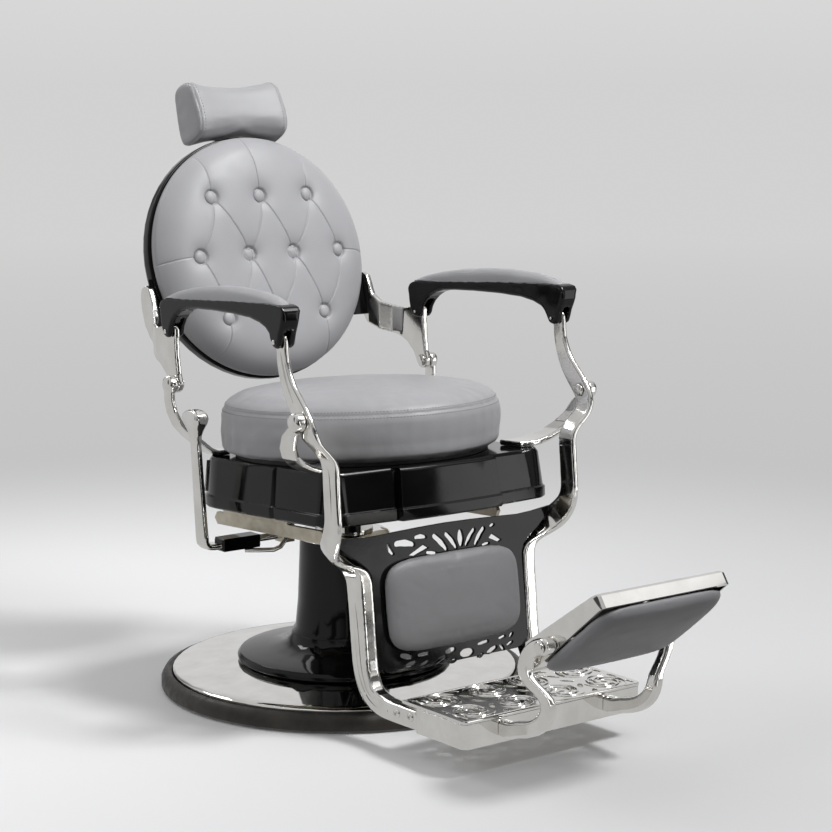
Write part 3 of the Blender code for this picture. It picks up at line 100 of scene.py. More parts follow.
# Frames of the tilted parts, as the CAD model has them
SEAT_TILT = math.radians(2.93)
SEAT_Z = 0.370
BACK_LEAN = math.radians(13.5)
BACK_R = 0.235
BACK_WIDE = 1.02
BACK_Y = 0.2465
BACK_Z = 0.807
SHELL_N1 = -0.0413
PANEL_TOP = (-0.306, 0.358)
PANEL_LEAN = math.atan2(0.032, 0.245)
FLIP_PIVOT = (-0.755, 0.250)
FLIP_LIFT = math.radians(34.0)

# Cushions: a groove or a foot is its depth and its reach
SEAT_SEAM = 0.178
SEAT_Y = -0.063
SEAT_GROOVE = (0.0016, 0.0016)
SEAT_FOOT = (0.025, 0.006)
SEAT_WALL_TOP = SEAT_SEAM - 0.004
SEAT_WALL_BLEND = 0.020
HEADREST_HALF = 0.100
HEADREST_S = 0.294
HEADREST_N = -0.058
HEADREST_REAR = -0.098
HEADREST_GROOVE = (0.0022, 0.0020)
HEADREST_FILL = 0.0060
HEADREST_FILL_TOP = 0.27
HEADREST_FILL_BLEND = 0.030
ARM_HELD = 0.004
ARM_CROWN = 0.007
ARM_END_FALL = 0.006
LEG_PAD_T = -0.1325
FLIP_PAD_U = 0.0995
BUTTON_R = 0.0132
STITCH_PITCH = 0.0062
STITCH_LENGTH = 0.0040
STITCH_R = 0.00055
SEAT_STITCH_OFF = 0.0055
HEADREST_STITCH_OFF = 0.0085

# Cloth that swells the pads
CLOTH_STEPS = 20
CLOTH_QUALITY = 5
CLOTH_MASS = 0.3
CLOTH_STIFFNESS = 12.0
CLOTH_BENDING = 4.0


def seat(x, y, z):
    c, s = math.cos(SEAT_TILT), math.sin(SEAT_TILT)
    return Vector((x, y * c + z * s, SEAT_Z - y * s + z * c))


def back(x, s, n):
    cl, sl = math.cos(BACK_LEAN), math.sin(BACK_LEAN)
    return Vector((x, BACK_Y + sl * s - cl * n, BACK_Z + cl * s + sl * n))


def panel(x, t, w):
    cl, sl = math.cos(PANEL_LEAN), math.sin(PANEL_LEAN)
    return Vector((x, PANEL_TOP[0] + sl * t - cl * w, PANEL_TOP[1] + cl * t + sl * w))


def flip(x, u, v):
    cl, sl = math.cos(FLIP_LIFT), math.sin(FLIP_LIFT)
    return Vector((x, FLIP_PIVOT[0] - cl * u + sl * v, FLIP_PIVOT[1] + sl * u + cl * v))


# Materials
NOISE_RANGE = (0.3, 0.7)
COOL_TINT = 1.04


def grey(tone):
    return tone, tone, tone * COOL_TINT


def new_material(name, colour, metallic=0.0, roughness=0.5):
    mat = bpy.data.materials.new(name)
    mat.use_nodes = True
    shader = mat.node_tree.nodes["Principled BSDF"]
    shader.inputs["Base Color"].default_value = (*colour, 1.0)
    shader.inputs["Metallic"].default_value = metallic
    shader.inputs["Roughness"].default_value = roughness
    return mat, mat.node_tree, shader


def add_node(tree, kind, inputs=None, **settings):
    made = tree.nodes.new(kind)
    for key, value in settings.items():
        setattr(made, key, value)
    for key, value in (inputs or {}).items():
        made.inputs[key].default_value = value
    return made


def noise_at(tree, scale, detail=2.0):
    """Noise over the object's own coordinates, in metres."""
    place = add_node(tree, "ShaderNodeTexCoord")
    noise = add_node(tree, "ShaderNodeTexNoise", {"Scale": scale, "Detail": detail})
    tree.links.new(place.outputs["Object"], noise.inputs["Vector"])
    return noise.outputs["Fac"]


def ranged(tree, value, start, end, low=0.0, high=1.0, **settings):
    """Value that runs from low to high while another runs from start to end."""
    limits = {"From Min": start, "From Max": end, "To Min": low, "To Max": high}
    span = add_node(tree, "ShaderNodeMapRange", limits, **settings)
    tree.links.new(value, span.inputs["Value"])
    return span.outputs["Result"]


def spread(tree, value, low, high):
    """Noise value stretched to run from low to high."""
    return ranged(tree, value, *NOISE_RANGE, low, high)


def tint(tree, value, low, high):
    """Noise value turned to a colour between low and high."""
    ramp = add_node(tree, "ShaderNodeValToRGB")
    for element, position, colour in zip(ramp.color_ramp.elements, NOISE_RANGE, (low, high)):
        element.position = position
        element.color = (*colour, 1.0)
    tree.links.new(value, ramp.inputs["Fac"])
    return ramp.outputs["Color"]


def add_bump(tree, shader, height, strength, distance, socket="Normal"):
    bump = add_node(tree, "ShaderNodeBump", {"Strength": strength, "Distance": distance})
    tree.links.new(height, bump.inputs["Height"])
    tree.links.new(bump.outputs["Normal"], shader.inputs[socket])


def leatherette(name, tone):
    mat, tree, shader = new_material(name, grey(tone), 0.0, 0.45)
    tree.links.new(tint(tree, noise_at(tree, 7.0, 4.0), grey(tone * 0.95), grey(tone * 1.05)),
                   shader.inputs["Base Color"])
    tree.links.new(spread(tree, noise_at(tree, 60.0, 3.0), 0.40, 0.50), shader.inputs["Roughness"])
    place = add_node(tree, "ShaderNodeTexCoord")
    grain = add_node(tree, "ShaderNodeTexVoronoi", {"Scale": 560.0, "Smoothness": 0.6}, feature="SMOOTH_F1")
    tree.links.new(place.outputs["Object"], grain.inputs["Vector"])
    pebble = add_node(tree, "ShaderNodeMath", operation="ADD")
    tree.links.new(grain.outputs["Distance"], pebble.inputs[0])
    tree.links.new(noise_at(tree, 230.0, 4.0), pebble.inputs[1])
    add_bump(tree, shader, pebble.outputs["Value"], 0.10, 0.0007)
    shader.inputs["Specular IOR Level"].default_value = 0.42
    return mat


def thread():
    mat, tree, shader = new_material("thread", (0.20, 0.20, 0.21), 0.0, 0.7)
    tree.links.new(tint(tree, noise_at(tree, 900.0), (0.17, 0.17, 0.18), (0.25, 0.25, 0.26)),
                   shader.inputs["Base Color"])
    return mat


def gloss_black(name, low, high):
    mat, tree, shader = new_material(name, (0.004, 0.004, 0.0042), 0.0, 0.1)
    tree.links.new(tint(tree, noise_at(tree, 14.0), (0.0030, 0.0030, 0.0032), (0.0055, 0.0054, 0.0054)),
                   shader.inputs["Base Color"])
    tree.links.new(spread(tree, noise_at(tree, 35.0, 4.0), low, high), shader.inputs["Roughness"])
    add_bump(tree, shader, noise_at(tree, 130.0), 0.025, 0.001)
    shader.inputs["Specular IOR Level"].default_value = 0.27
    shader.inputs["Coat Weight"].default_value = 0.05
    shader.inputs["Coat Roughness"].default_value = 0.04
    return mat


def chrome(name, low, high, ripple):
    mat, tree, shader = new_material(name, (0.83, 0.815, 0.785), 1.0, 0.1)
    tree.links.new(tint(tree, noise_at(tree, 24.0, 4.0), (0.77, 0.755, 0.72), (0.87, 0.86, 0.835)),
                   shader.inputs["Base Color"])
    tree.links.new(spread(tree, noise_at(tree, 48.0, 5.0), low, high), shader.inputs["Roughness"])
    add_bump(tree, shader, noise_at(tree, 95.0, 3.0), ripple, 0.0015)
    return mat


def rubber():
    mat, tree, shader = new_material("rubber", (0.02, 0.017, 0.014), 0.0, 0.5)
    tree.links.new(tint(tree, noise_at(tree, 30.0, 5.0), (0.013, 0.011, 0.009), (0.035, 0.029, 0.023)),
                   shader.inputs["Base Color"])
    tree.links.new(spread(tree, noise_at(tree, 90.0, 4.0), 0.38, 0.6), shader.inputs["Roughness"])
    add_bump(tree, shader, noise_at(tree, 700.0, 3.0), 0.12, 0.0006)
    return mat


def zinc():
    mat, tree, shader = new_material("zinc_steel", (0.60, 0.55, 0.45), 0.85, 0.4)
    tree.links.new(tint(tree, noise_at(tree, 40.0, 5.0), (0.52, 0.47, 0.37), (0.68, 0.63, 0.53)),
                   shader.inputs["Base Color"])
    tree.links.new(spread(tree, noise_at(tree, 75.0, 5.0), 0.32, 0.52), shader.inputs["Roughness"])
    add_bump(tree, shader, noise_at(tree, 420.0, 3.0), 0.08, 0.0006)
    return mat


def board():
    mat, tree, shader = new_material("board", (0.012, 0.012, 0.012), 0.0, 0.6)
    tree.links.new(tint(tree, noise_at(tree, 120.0, 5.0), (0.008, 0.008, 0.008), (0.022, 0.021, 0.020)),
                   shader.inputs["Base Color"])
    add_bump(tree, shader, noise_at(tree, 500.0, 4.0), 0.2, 0.0008)
    return mat


LOOKS = {
    "upholstery": leatherette("leatherette", 0.345),
    # darker copy of the same leatherette, for the leg pad: painted shade, where less light falls low on the
    # chair
    "upholstery_painted_shade": leatherette("leatherette_painted_shade", 0.220),
    "thread": thread(),
    "black_gloss": gloss_black("black_gloss", 0.05, 0.11),
    "black_metal": gloss_black("black_metal", 0.08, 0.16),
    "chrome": chrome("chrome", 0.07, 0.15, 0.05),
    "mirror": chrome("mirror_chrome", 0.03, 0.07, 0.008),
    "rubber": rubber(),
    "zinc_steel": zinc(),
    "board": board(),
}


# Meshes
def link(obj):
    bpy.context.scene.collection.objects.link(obj)
    return obj


def mesh_piece(name, verts, faces):
    mesh = bpy.data.meshes.new(name)
    mesh.from_pydata([tuple(v) for v in verts], [], faces)
    mesh.update()
    return link(bpy.data.objects.new(name, mesh))


def dress(obj, look, body, slot, *nodes):
    """Give a piece its material and its body, and hide the nodes that it stands for. The slot is not used.
    """
    obj.data.materials.clear()
    obj.data.materials.append(LOOKS[look])
    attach(obj, body)
    if nodes:
        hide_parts(*nodes)
    return obj


def smooth(obj, angle=35.0):
    obj.data.shade_smooth()
    obj.data.set_sharp_from_angle(angle=math.radians(angle))
    return obj


def baked(obj):
    """Apply all modifiers to the mesh of a piece."""
    bpy.context.view_layer.update()
    graph = bpy.context.evaluated_depsgraph_get()
    mesh = bpy.data.meshes.new_from_object(obj.evaluated_get(graph))
    old = obj.data
    obj.modifiers.clear()
    obj.data = mesh
    bpy.data.meshes.remove(old)
    return obj


def coords(mesh):
    co = np.zeros(len(mesh.vertices) * 3)
    mesh.vertices.foreach_get("co", co)
    return co.reshape(-1, 3)


def set_coords(mesh, co):
    mesh.vertices.foreach_set("co", co.ravel())
    mesh.update()


def copy_of(node, name, inset=0.0):
    """Copy of a CAD node's mesh as a new piece, its faces drawn in by inset."""
    mesh = NODES[node].data.copy()
    bm = bmesh.new()
    bm.from_mesh(mesh)
    bmesh.ops.remove_doubles(bm, verts=bm.verts[:], dist=1e-6)
    bm.normal_update()
    for v in bm.verts:
        v.co -= v.normal * inset
    bm.to_mesh(mesh)
    bm.free()
    mesh.name = name
    return link(bpy.data.objects.new(name, mesh))


def lathe(profile, place, segs):
    """Verts and faces of a profile of (radius, height) turned about an axis, closed at zero radius."""
    verts, rows = [], []
    for r, h in profile:
        count = 1 if r == 0.0 else segs
        rows.append(range(len(verts), len(verts) + count))
        for k in range(count):
            turn = math.tau * k / segs
            verts.append(place(r * math.cos(turn), r * math.sin(turn), h))
    faces = []
    for a, b in zip(rows, rows[1:]):
        for k in range(segs):
            ring = [a[k % len(a)], a[(k + 1) % len(a)], b[(k + 1) % len(b)], b[k % len(b)]]
            faces.append([v for i, v in enumerate(ring) if v not in ring[:i]])
    return verts, faces


def join_parts(name, parts):
    verts, faces = [], []
    for part_verts, part_faces in parts:
        base = len(verts)
        verts += part_verts
        faces += [[i + base for i in face] for face in part_faces]
    return mesh_piece(name, verts, faces)


def bezier(points, count):
    """Points on a quadratic curve through a start, a pull point and an end."""
    a, b, c = (np.array(p) for p in points)
    t = np.linspace(0.0, 1.0, count)[:, None]
    return (1 - t) ** 2 * a + 2 * t * (1 - t) * b + t * t * c


# Soft goods
def bell(gap, depth, reach):
    """Bell-shaped mark of a depth that fades out with the gap from its middle."""
    return depth * np.exp(-(gap / reach) ** 2)


def swell(obj, voxel, pressure, cap, spare, rounds, held):
    """Remesh a closed pad and blow it up by cap at most, as cloth with spare length; held points stay."""
    remesh = obj.modifiers.new("remesh", "REMESH")
    remesh.mode = "VOXEL"
    remesh.voxel_size = voxel
    baked(obj)
    rest = coords(obj.data)
    pins = obj.vertex_groups.new(name="pins")
    pins.add([i for i, p in enumerate(rest) if held(p)], 1.0, "REPLACE")
    cloth = obj.modifiers.new("swell", "CLOTH")
    cloth.settings.quality = CLOTH_QUALITY
    cloth.settings.mass = CLOTH_MASS
    cloth.settings.tension_stiffness = CLOTH_STIFFNESS
    cloth.settings.compression_stiffness = CLOTH_STIFFNESS
    cloth.settings.bending_stiffness = CLOTH_BENDING
    cloth.settings.shrink_min = -spare
    cloth.settings.use_pressure = True
    cloth.settings.uniform_pressure_force = pressure
    cloth.settings.effector_weights.gravity = 0.0
    cloth.settings.vertex_group_mass = "pins"
    cloth.collision_settings.use_collision = False
    for step in range(1, CLOTH_STEPS + 1):
        bpy.context.scene.frame_set(step)
    baked(obj)
    bpy.context.scene.frame_set(1)
    obj.vertex_groups.clear()
    move = coords(obj.data) - rest
    reach = np.linalg.norm(move, axis=1, keepdims=True)
    set_coords(obj.data, rest + move * np.minimum(1.0, cap / np.maximum(reach, 1e-9)))
    even = obj.modifiers.new("even", "SMOOTH")
    even.factor = 0.5
    even.iterations = rounds
    finer = obj.modifiers.new("finer", "SUBSURF")
    finer.levels = 1
    baked(obj)
    obj.data.shade_smooth()
    return obj


def stitch_row(name, path, body):
    """A row of thread stitches along a path of (point, outward normal)."""
    points = [Vector(p) for p, n in path]
    normals = [Vector(n) for p, n in path]
    lengths = np.cumsum([0.0] + [(b - a).length for a, b in zip(points, points[1:])])
    parts = []
    for d in np.arange(STITCH_PITCH / 2, lengths[-1] - STITCH_PITCH / 2, STITCH_PITCH):
        i = min(int(np.searchsorted(lengths, d)) - 1, len(points) - 2)
        along = (points[i + 1] - points[i]).normalized()
        middle = points[i] + along * (d - lengths[i])
        side = along.cross(normals[i]).normalized()

        def place(a, b, h, middle=middle, along=along, side=side, out=normals[i]):
            return middle + along * h + side * a + out * (b + STITCH_R * 0.2)
        half = STITCH_LENGTH / 2
        profile = [(0.0, -half), (STITCH_R, -half * 0.6), (STITCH_R * 1.15, 0.0), (STITCH_R, half * 0.6),
                   (0.0, half)]
        parts.append(lathe(profile, place, 6))
    row = join_parts(name, parts)
    row.data.shade_smooth()
    return dress(row, "thread", body, "upholstery")


def surface_path(obj, starts, ways):
    """Where rays meet a piece, as (point, normal) pairs."""
    bpy.context.view_layer.update()
    path = []
    for start, way in zip(starts, ways):
        found, point, normal, _ = obj.ray_cast(start, way)
        if found:
            path.append((point, normal))
    return path


def straight_wall(out, radius, height):
    """How much wider each point goes, so that the side of the seat drops straight from its seam."""
    turn = np.arctan2(out[:, 1], out[:, 0])
    spokes = np.linspace(-math.pi, math.pi, 73)
    widest = [radius[np.abs((turn - a + math.pi) % math.tau - math.pi) < 0.06].max() for a in spokes]
    share = radius / np.interp(turn, spokes, widest)
    levels = np.linspace(height.min(), SEAT_WALL_TOP, 16)
    reach = [share[np.abs(height - level) < 0.0035].max() for level in levels]
    foot = 1.0 - bell(levels - levels[0], *SEAT_FOOT)
    blend = np.clip((SEAT_WALL_TOP - height) / SEAT_WALL_BLEND, 0.0, 1.0)
    return 1.0 + (np.interp(height, levels, foot / np.array(reach)) - 1.0) * blend


def build_seat_cushion():
    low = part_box("seat_cushion")[0].z + 0.012
    obj = copy_of("seat_cushion", "seat_cushion_soft", -0.0010)
    swell(obj, voxel=0.006, pressure=4.0, cap=0.003, spare=0.006, rounds=5, held=lambda p: p[2] < low)
    co = coords(obj.data)
    c, s = math.cos(SEAT_TILT), math.sin(SEAT_TILT)
    height = co[:, 1] * s + (co[:, 2] - SEAT_Z) * c
    out = co * (1.0, 1.0, 0.0) - (0.0, SEAT_Y, 0.0)
    radius = np.linalg.norm(out[:, :2], axis=1)
    wider = straight_wall(out, radius, height) - 1.0
    groove = bell(height - SEAT_SEAM, *SEAT_GROOVE) * (radius > 0.2)
    set_coords(obj.data, co + out * (wider - groove / np.maximum(radius, 1e-6))[:, None])
    dress(obj, "upholstery", "seat", "upholstery", "seat_cushion")
    away = 0.40
    turns = [math.tau * k / 240 for k in range(241)]
    for name, lift in (("seat_stitch_upper", SEAT_STITCH_OFF), ("seat_stitch_lower", -SEAT_STITCH_OFF)):
        level = SEAT_SEAM + lift
        starts = [seat(away * math.cos(a), SEAT_Y + away * math.sin(a), level) for a in turns]
        ways = [seat(0.0, SEAT_Y, level) - start for start in starts]
        stitch_row(name, surface_path(obj, starts, ways), "seat")


# Tufted back: three rows of buttons, with curved pleats between them and out to the rim
TOP_S = 0.114
LOW_S = -0.121
TOP_X = (-0.117, -0.008, 0.105)
MID_X = (-0.160, -0.050, 0.053, 0.163)
LOW_X = (-0.114, -0.003, 0.109)
BUTTONS = [(x, TOP_S) for x in TOP_X] + [(x, 0.0) for x in MID_X] + [(x, LOW_S) for x in LOW_X]
RIM_UP = (-0.132, -0.020, 0.121)
RIM_DOWN = (-0.140, -0.006, 0.118)
PLEAT_RIM = BACK_R * 1.03
DOME_TOP = 0.0165
DOME_FALL = 0.0030
DOME_EDGE = 0.0360
# Depth and reach of each mark in the dome
DIMPLE = (0.0058, 0.025)
BUTTON_SEAT = (0.0030, 0.0150)
BUTTON_RING = (0.0034, 0.0022)
CREASE = (0.0018, 0.0012)
VALLEY = (0.0005, 0.008)
LIP = (0.0003, 0.008)
# Side of the cushion: share of the way down, and how far it stands out there
BACK_WALL = ((0.25, 0.0012), (0.5, 0.0015), (0.75, 0.0008), (1.0, -0.0025))
BACK_GRID = 340
# A button: share of its radius, and height over its seat
BUTTON_PROFILE = ((0.0, -0.0005), (0.84, -0.0005), (0.97, 0.0012), (1.0, 0.0030), (0.96, 0.0048),
                  (0.84, 0.0066), (0.62, 0.0080), (0.33, 0.0088), (0.0, 0.0091))
BUTTON_LIFT = 0.0018


def pleat_lines():
    """Middle lines of the pleats: from button to button, and from the outer buttons to the rim."""
    lines = []
    rim = PLEAT_RIM
    for i, (top, low) in enumerate(zip(TOP_X, LOW_X)):
        for mid in MID_X[i:i + 2]:
            bend = top if mid < top else 0.3 * top + 0.7 * mid
            lines.append([(top, TOP_S), (bend, TOP_S * 0.5), (mid, 0.0)])
            bend = mid if low < mid else 0.3 * mid + 0.7 * low
            lines.append([(mid, 0.0), (bend, LOW_S * 0.5), (low, LOW_S)])
        up, down = RIM_UP[i], RIM_DOWN[i]
        lines.append([(top, TOP_S), (top, 0.19), (up, math.sqrt(rim ** 2 - up ** 2))])
        lines.append([(low, LOW_S), (low + 0.004, -0.17), (down, -math.sqrt(rim ** 2 - down ** 2))])
    for x in (MID_X[0], MID_X[-1]):
        lines.append([(x, 0.0), (1.2 * x, 0.0), (math.copysign(rim, x), -0.008)])
    return [bezier(line, 22) for line in lines]


def signed_gap(points, line):
    """Distance from each point to a polyline, and the side of it that the point is on."""
    best = np.full(len(points), 9.0)
    side = np.zeros(len(points))
    for a, b in zip(line, line[1:]):
        way = b - a
        t = np.clip((points - a) @ way / (way @ way), 0.0, 1.0)
        gap = points - a - t[:, None] * way
        size = np.hypot(gap[:, 0], gap[:, 1])
        turn = np.sign(way[0] * gap[:, 1] - way[1] * gap[:, 0])
        nearer = size < best
        best = np.where(nearer, size, best)
        side = np.where(nearer, turn, side)
    return best, side


def tuft_height(points):
    """Height of the tufted front over the back's plane: a dome, dimples, and creases with one lip raised."""
    q = np.hypot(points[:, 0] / BACK_WIDE, points[:, 1]) / BACK_R
    high = DOME_TOP - DOME_FALL * q ** 2 - DOME_EDGE * q ** 9
    for x, s in BUTTONS:
        r = np.hypot(points[:, 0] - x, points[:, 1] - s)
        high -= bell(r, *DIMPLE) + bell(r, *BUTTON_SEAT)
        high -= bell(r - BUTTON_R, *BUTTON_RING)
    rise, reach = LIP
    for line in pleat_lines():
        gap, side = signed_gap(points, line)
        high -= bell(gap, *CREASE) + bell(gap, *VALLEY)
        high += rise * side * np.exp(-gap / reach) * (1.0 - bell(gap, 1.0, CREASE[1]))
    return high


def build_back_cushion():
    grid = BACK_GRID
    a, b = np.meshgrid(np.linspace(-1, 1, grid + 1), np.linspace(-1, 1, grid + 1))
    a, b = a.ravel(), b.ravel()
    flat = np.stack([BACK_WIDE * a * np.sqrt(1 - b * b / 2), b * np.sqrt(1 - a * a / 2)], axis=1) * BACK_R
    high = tuft_height(flat)
    verts = [back(x, s, n) for (x, s), n in zip(flat, high)]
    row = grid + 1
    faces = [[j * row + i, j * row + i + 1, (j + 1) * row + i + 1, (j + 1) * row + i]
             for j in range(grid) for i in range(grid)]
    edge = [i for i in range(grid)] + [j * row + grid for j in range(grid)]
    edge += [grid * row + grid - i for i in range(grid)] + [(grid - j) * row for j in range(grid)]
    rings = [edge]
    for drop, draw in BACK_WALL:
        ring = []
        for i in edge:
            x, s = flat[i] * (1.0 + draw / BACK_R)
            ring.append(len(verts))
            verts.append(back(x, s, high[i] + (SHELL_N1 + 0.0003 - high[i]) * drop))
        rings.append(ring)
    for near, far in zip(rings, rings[1:]):
        for k in range(len(edge)):
            m = (k + 1) % len(edge)
            faces.append([near[m], near[k], far[k], far[m]])
    faces.append(rings[-1])
    obj = mesh_piece("back_cushion_tufted", verts, faces)
    obj.data.shade_smooth()
    dress(obj, "upholstery", "back", "upholstery", "back_cushion")
    profile = [(BUTTON_R * share, h) for share, h in BUTTON_PROFILE]
    parts = []
    for x, s in BUTTONS:
        floor = float(tuft_height(np.array([[x, s]]))[0]) + BUTTON_LIFT

        def place(u, v, n, x=x, s=s, floor=floor):
            return back(x + u, s + v, floor + n)
        parts.append(lathe(profile, place, 28))
    buttons = join_parts("back_buttons", parts)
    buttons.data.shade_smooth()
    dress(buttons, "upholstery", "back", "upholstery")


def build_headrest():
    obj = copy_of("headrest_cushion", "headrest_soft")
    rear = back(0.0, HEADREST_S, HEADREST_REAR)
    way = back(0.0, 0.0, 1.0) - back(0.0, 0.0, 0.0)
    swell(obj, voxel=0.004, pressure=2.0, cap=0.003, spare=0.01, rounds=10,
          held=lambda p: (Vector(p) - rear).dot(way) < 0.004)
    co = coords(obj.data)
    centre = np.array(back(0.0, HEADREST_S, HEADREST_N))
    out = (co - centre) * (0.0, 1.0, 1.0)
    groove = bell(np.abs(co[:, 0]) - HEADREST_HALF + 0.0005, *HEADREST_GROOVE)
    co -= out / np.linalg.norm(out, axis=1)[:, None] * groove[:, None]
    up = np.array(back(0.0, 1.0, 0.0) - back(0.0, 0.0, 0.0))
    level = (co - np.array(back(0.0, 0.0, 0.0))) @ up
    low = np.clip((HEADREST_FILL_TOP - level) / HEADREST_FILL_BLEND, 0.0, 1.0)
    waist = np.clip(1.0 - (co[:, 0] / HEADREST_HALF) ** 2, 0.0, 1.0)
    set_coords(obj.data, co - up * (HEADREST_FILL * low * waist)[:, None])
    dress(obj, "upholstery", "headrest", "upholstery", "headrest_cushion")
    away = 0.15
    turns = [math.tau * k / 90 for k in range(91)]
    for side, sx in SIDES:
        x = sx * (HEADREST_HALF - HEADREST_STITCH_OFF)
        middle = back(x, HEADREST_S, HEADREST_N)
        starts = [back(x, HEADREST_S + away * math.sin(a), HEADREST_N + away * math.cos(a)) for a in turns]
        path = surface_path(obj, starts, [middle - start for start in starts])
        stitch_row("headrest_stitch_" + side, path, "headrest")


def crown(obj, low):
    """Round a long pad over: its sides and ends fall away from the middle line."""
    co = coords(obj.data)
    slope, start = np.polyfit(co[:, 1], co[:, 0], 1)
    off = co[:, 0] - slope * co[:, 1] - start
    across = np.abs(off) / np.abs(off).max()
    along = np.abs(co[:, 1] - co[:, 1].mean()) / np.ptp(co[:, 1]) * 2
    share = np.clip((co[:, 2] - low) / 0.010, 0.0, 1.0)
    co[:, 2] += share * (ARM_CROWN * (0.05 - across ** 2.2) - ARM_END_FALL * np.minimum(along, 1.0) ** 14)
    set_coords(obj.data, co)


def build_pads():
    for side, _ in SIDES:
        node = "arm_pad_" + side
        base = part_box(node)[0].z
        obj = copy_of(node, node + "_soft")
        swell(obj, voxel=0.0026, pressure=3.0, cap=0.0040, spare=0.02, rounds=4,
              held=lambda p: p[2] < base + ARM_HELD)
        crown(obj, base + ARM_HELD)
        dress(obj, "upholstery", "arm_" + side, "upholstery", node)
    leg = copy_of("leg_pad", "leg_pad_soft", -0.0010)
    plate = panel(0.0, LEG_PAD_T, 0.0)
    way = panel(0.0, 0.0, 1.0) - panel(0.0, 0.0, 0.0)
    swell(leg, voxel=0.003, pressure=1.2, cap=0.0030, spare=0.001, rounds=6,
          held=lambda p: (Vector(p) - plate).dot(way) < 0.008)
    # the leg pad takes the darker copy of the leatherette: painted shade
    dress(leg, "upholstery_painted_shade", "legrest", "upholstery", "leg_pad")
    under = copy_of("flip_pad", "flip_pad_soft", -0.0005)
    middle = (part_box("flip_pad")[0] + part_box("flip_pad")[1]) / 2
    down = flip(0.0, FLIP_PAD_U, -1.0) - flip(0.0, 0.0, 0.0)
    down.normalize()
    swell(under, voxel=0.003, pressure=1.2, cap=0.0030, spare=0.001, rounds=6,
          held=lambda p: (Vector(p) - middle).dot(down) < -0.006)
    dress(under, "upholstery", "flip_footrest", "upholstery", "flip_pad")


# Metal: the grain at which each cast form is rounded, and the nodes that are polished
CAST = {"front_lever": 0.0020, "front_bracket": 0.0016, "rear_bracket": 0.0016, "gooseneck": 0.0016,
        "back_arm": 0.0018, "arm_frame": 0.0018, "pump_lever": 0.0016}
MIRROR = ("base_plate", "column_collar", "piston", "footplate_frame", "flip_tray")
EDGE_WIDTH = 0.0008
EDGE_ANGLE = math.radians(38)


def finish_nodes():
    """Materials for the CAD nodes that stay, with rounded edges, and soft cast forms for the linkage."""
    for node, obj in NODES.items():
        look = "mirror" if node in MIRROR else SLOT_OF[node]
        obj.data.materials.clear()
        obj.data.materials.append(LOOKS[look])
        smooth(obj)
        kind = node if node in CAST else node.rsplit("_", 1)[0]
        weld = obj.modifiers.new("weld", "WELD")
        weld.merge_threshold = 1e-6
        if kind in CAST:
            cast = obj.modifiers.new("cast", "REMESH")
            cast.mode = "VOXEL"
            cast.voxel_size = CAST[kind]
            cast.use_smooth_shade = True
            soft = obj.modifiers.new("soft", "SMOOTH")
            soft.factor = 0.5
            soft.iterations = 8
        else:
            edge = obj.modifiers.new("edge", "BEVEL")
            edge.limit_method = "ANGLE"
            edge.angle_limit = EDGE_ANGLE
            edge.width = EDGE_WIDTH
            edge.segments = 2
            edge.harden_normals = True
            even = obj.modifiers.new("even", "WEIGHTED_NORMAL")
            even.keep_sharp = True


def flat_plate(name, loops, place, thickness, bevel):
    """Plate filled between flat outlines, with rounded edges. Each loop is (points, rounded)."""
    data = bpy.data.curves.new(name, "CURVE")
    data.dimensions = "2D"
    data.fill_mode = "BOTH"
    data.extrude = thickness / 2 - bevel
    data.bevel_depth = bevel
    data.bevel_resolution = 1
    data.offset = -bevel
    data.resolution_u = 5
    for points, rounded in loops:
        spline = data.splines.new("BEZIER")
        spline.bezier_points.add(len(points) - 1)
        spline.use_cyclic_u = True
        for knot, (u, v) in zip(spline.bezier_points, points):
            knot.co = (u, v, 0.0)
            knot.handle_left_type = "AUTO" if rounded else "VECTOR"
            knot.handle_right_type = knot.handle_left_type
    shape = link(bpy.data.objects.new(name, data))
    bpy.context.view_layer.update()
    graph = bpy.context.evaluated_depsgraph_get()
    mesh = bpy.data.meshes.new_from_object(shape.evaluated_get(graph))
    bpy.data.objects.remove(shape)
    obj = link(bpy.data.objects.new(name, mesh))
    set_coords(mesh, np.array([place(*p) for p in coords(mesh)]))
    return smooth(obj, 30.0)


LEAF = ((-0.5, 0.0), (-0.22, 0.42), (0.12, 0.46), (0.5, 0.0), (0.12, -0.46), (-0.22, -0.42))


def leaf(x, y, length, width, turn, bow=0.0):
    """Pointed leaf about a middle, turned in degrees, with its tip bowed to one side."""
    c, s = math.cos(math.radians(turn)), math.sin(math.radians(turn))
    points = []
    for along, across in LEAF:
        u = across * width + bow * (along * 2) ** 2
        v = along * length
        points.append((x + c * u + s * v, y - s * u + c * v))
    return points


# Openwork of the leg panel, in millimetres across and down the panel
PANEL_HALF = ((0, -247), (142, -247), (156, -243), (171, -227), (171.7, -79), (172.8, -70), (179, -58),
              (195, -45), (217.5, -30), (234.5, -16), (244.5, -4), (246.5, 4), (205, -1), (170, -3),
              (120, -1), (60, 1), (0, 2))
# Leaves cut in it: middle, length, width, turn in degrees, bow
PANEL_LEAVES = ((32, -30, 31, 14, 0, 0), (53, -30, 38, 9, 40, 2), (75, -31, 40, 10, 40, 2),
                (11, -31, 40, 10, -38, -2), (-14, -31, 44, 11, -44, -2), (-94, -23, 46, 12, -82, -3),
                (-58, -16, 27, 8, -86, -2), (107, -16, 12, 6, 80, 0), (-36, -48, 24, 6, -80, 0),
                (89, -48, 18, 5, 84, 0), (-128, -31, 24, 8, -30, 3), (65, -225, 26, 6, 84, 0),
                (84, -241, 26, 9, 70, 0), (110, -222, 17, 5, 80, 0), (132, -221, 13, 6, 50, 0),
                (108, -240, 16, 7, -40, 0), (127, -236, 16, 5, 70, 0), (58, -247, 12, 5, 60, 0),
                (-11, -227, 24, 9, 84, 0), (-36, -240, 32, 8, 68, 2), (-7, -247, 15, 6, 78, 0),
                (-72, -224, 26, 6, 90, 0), (-72, -242, 24, 8, 68, 0), (-110, -222, 28, 9, -74, 0),
                (-101, -237, 25, 8, 82, 0))
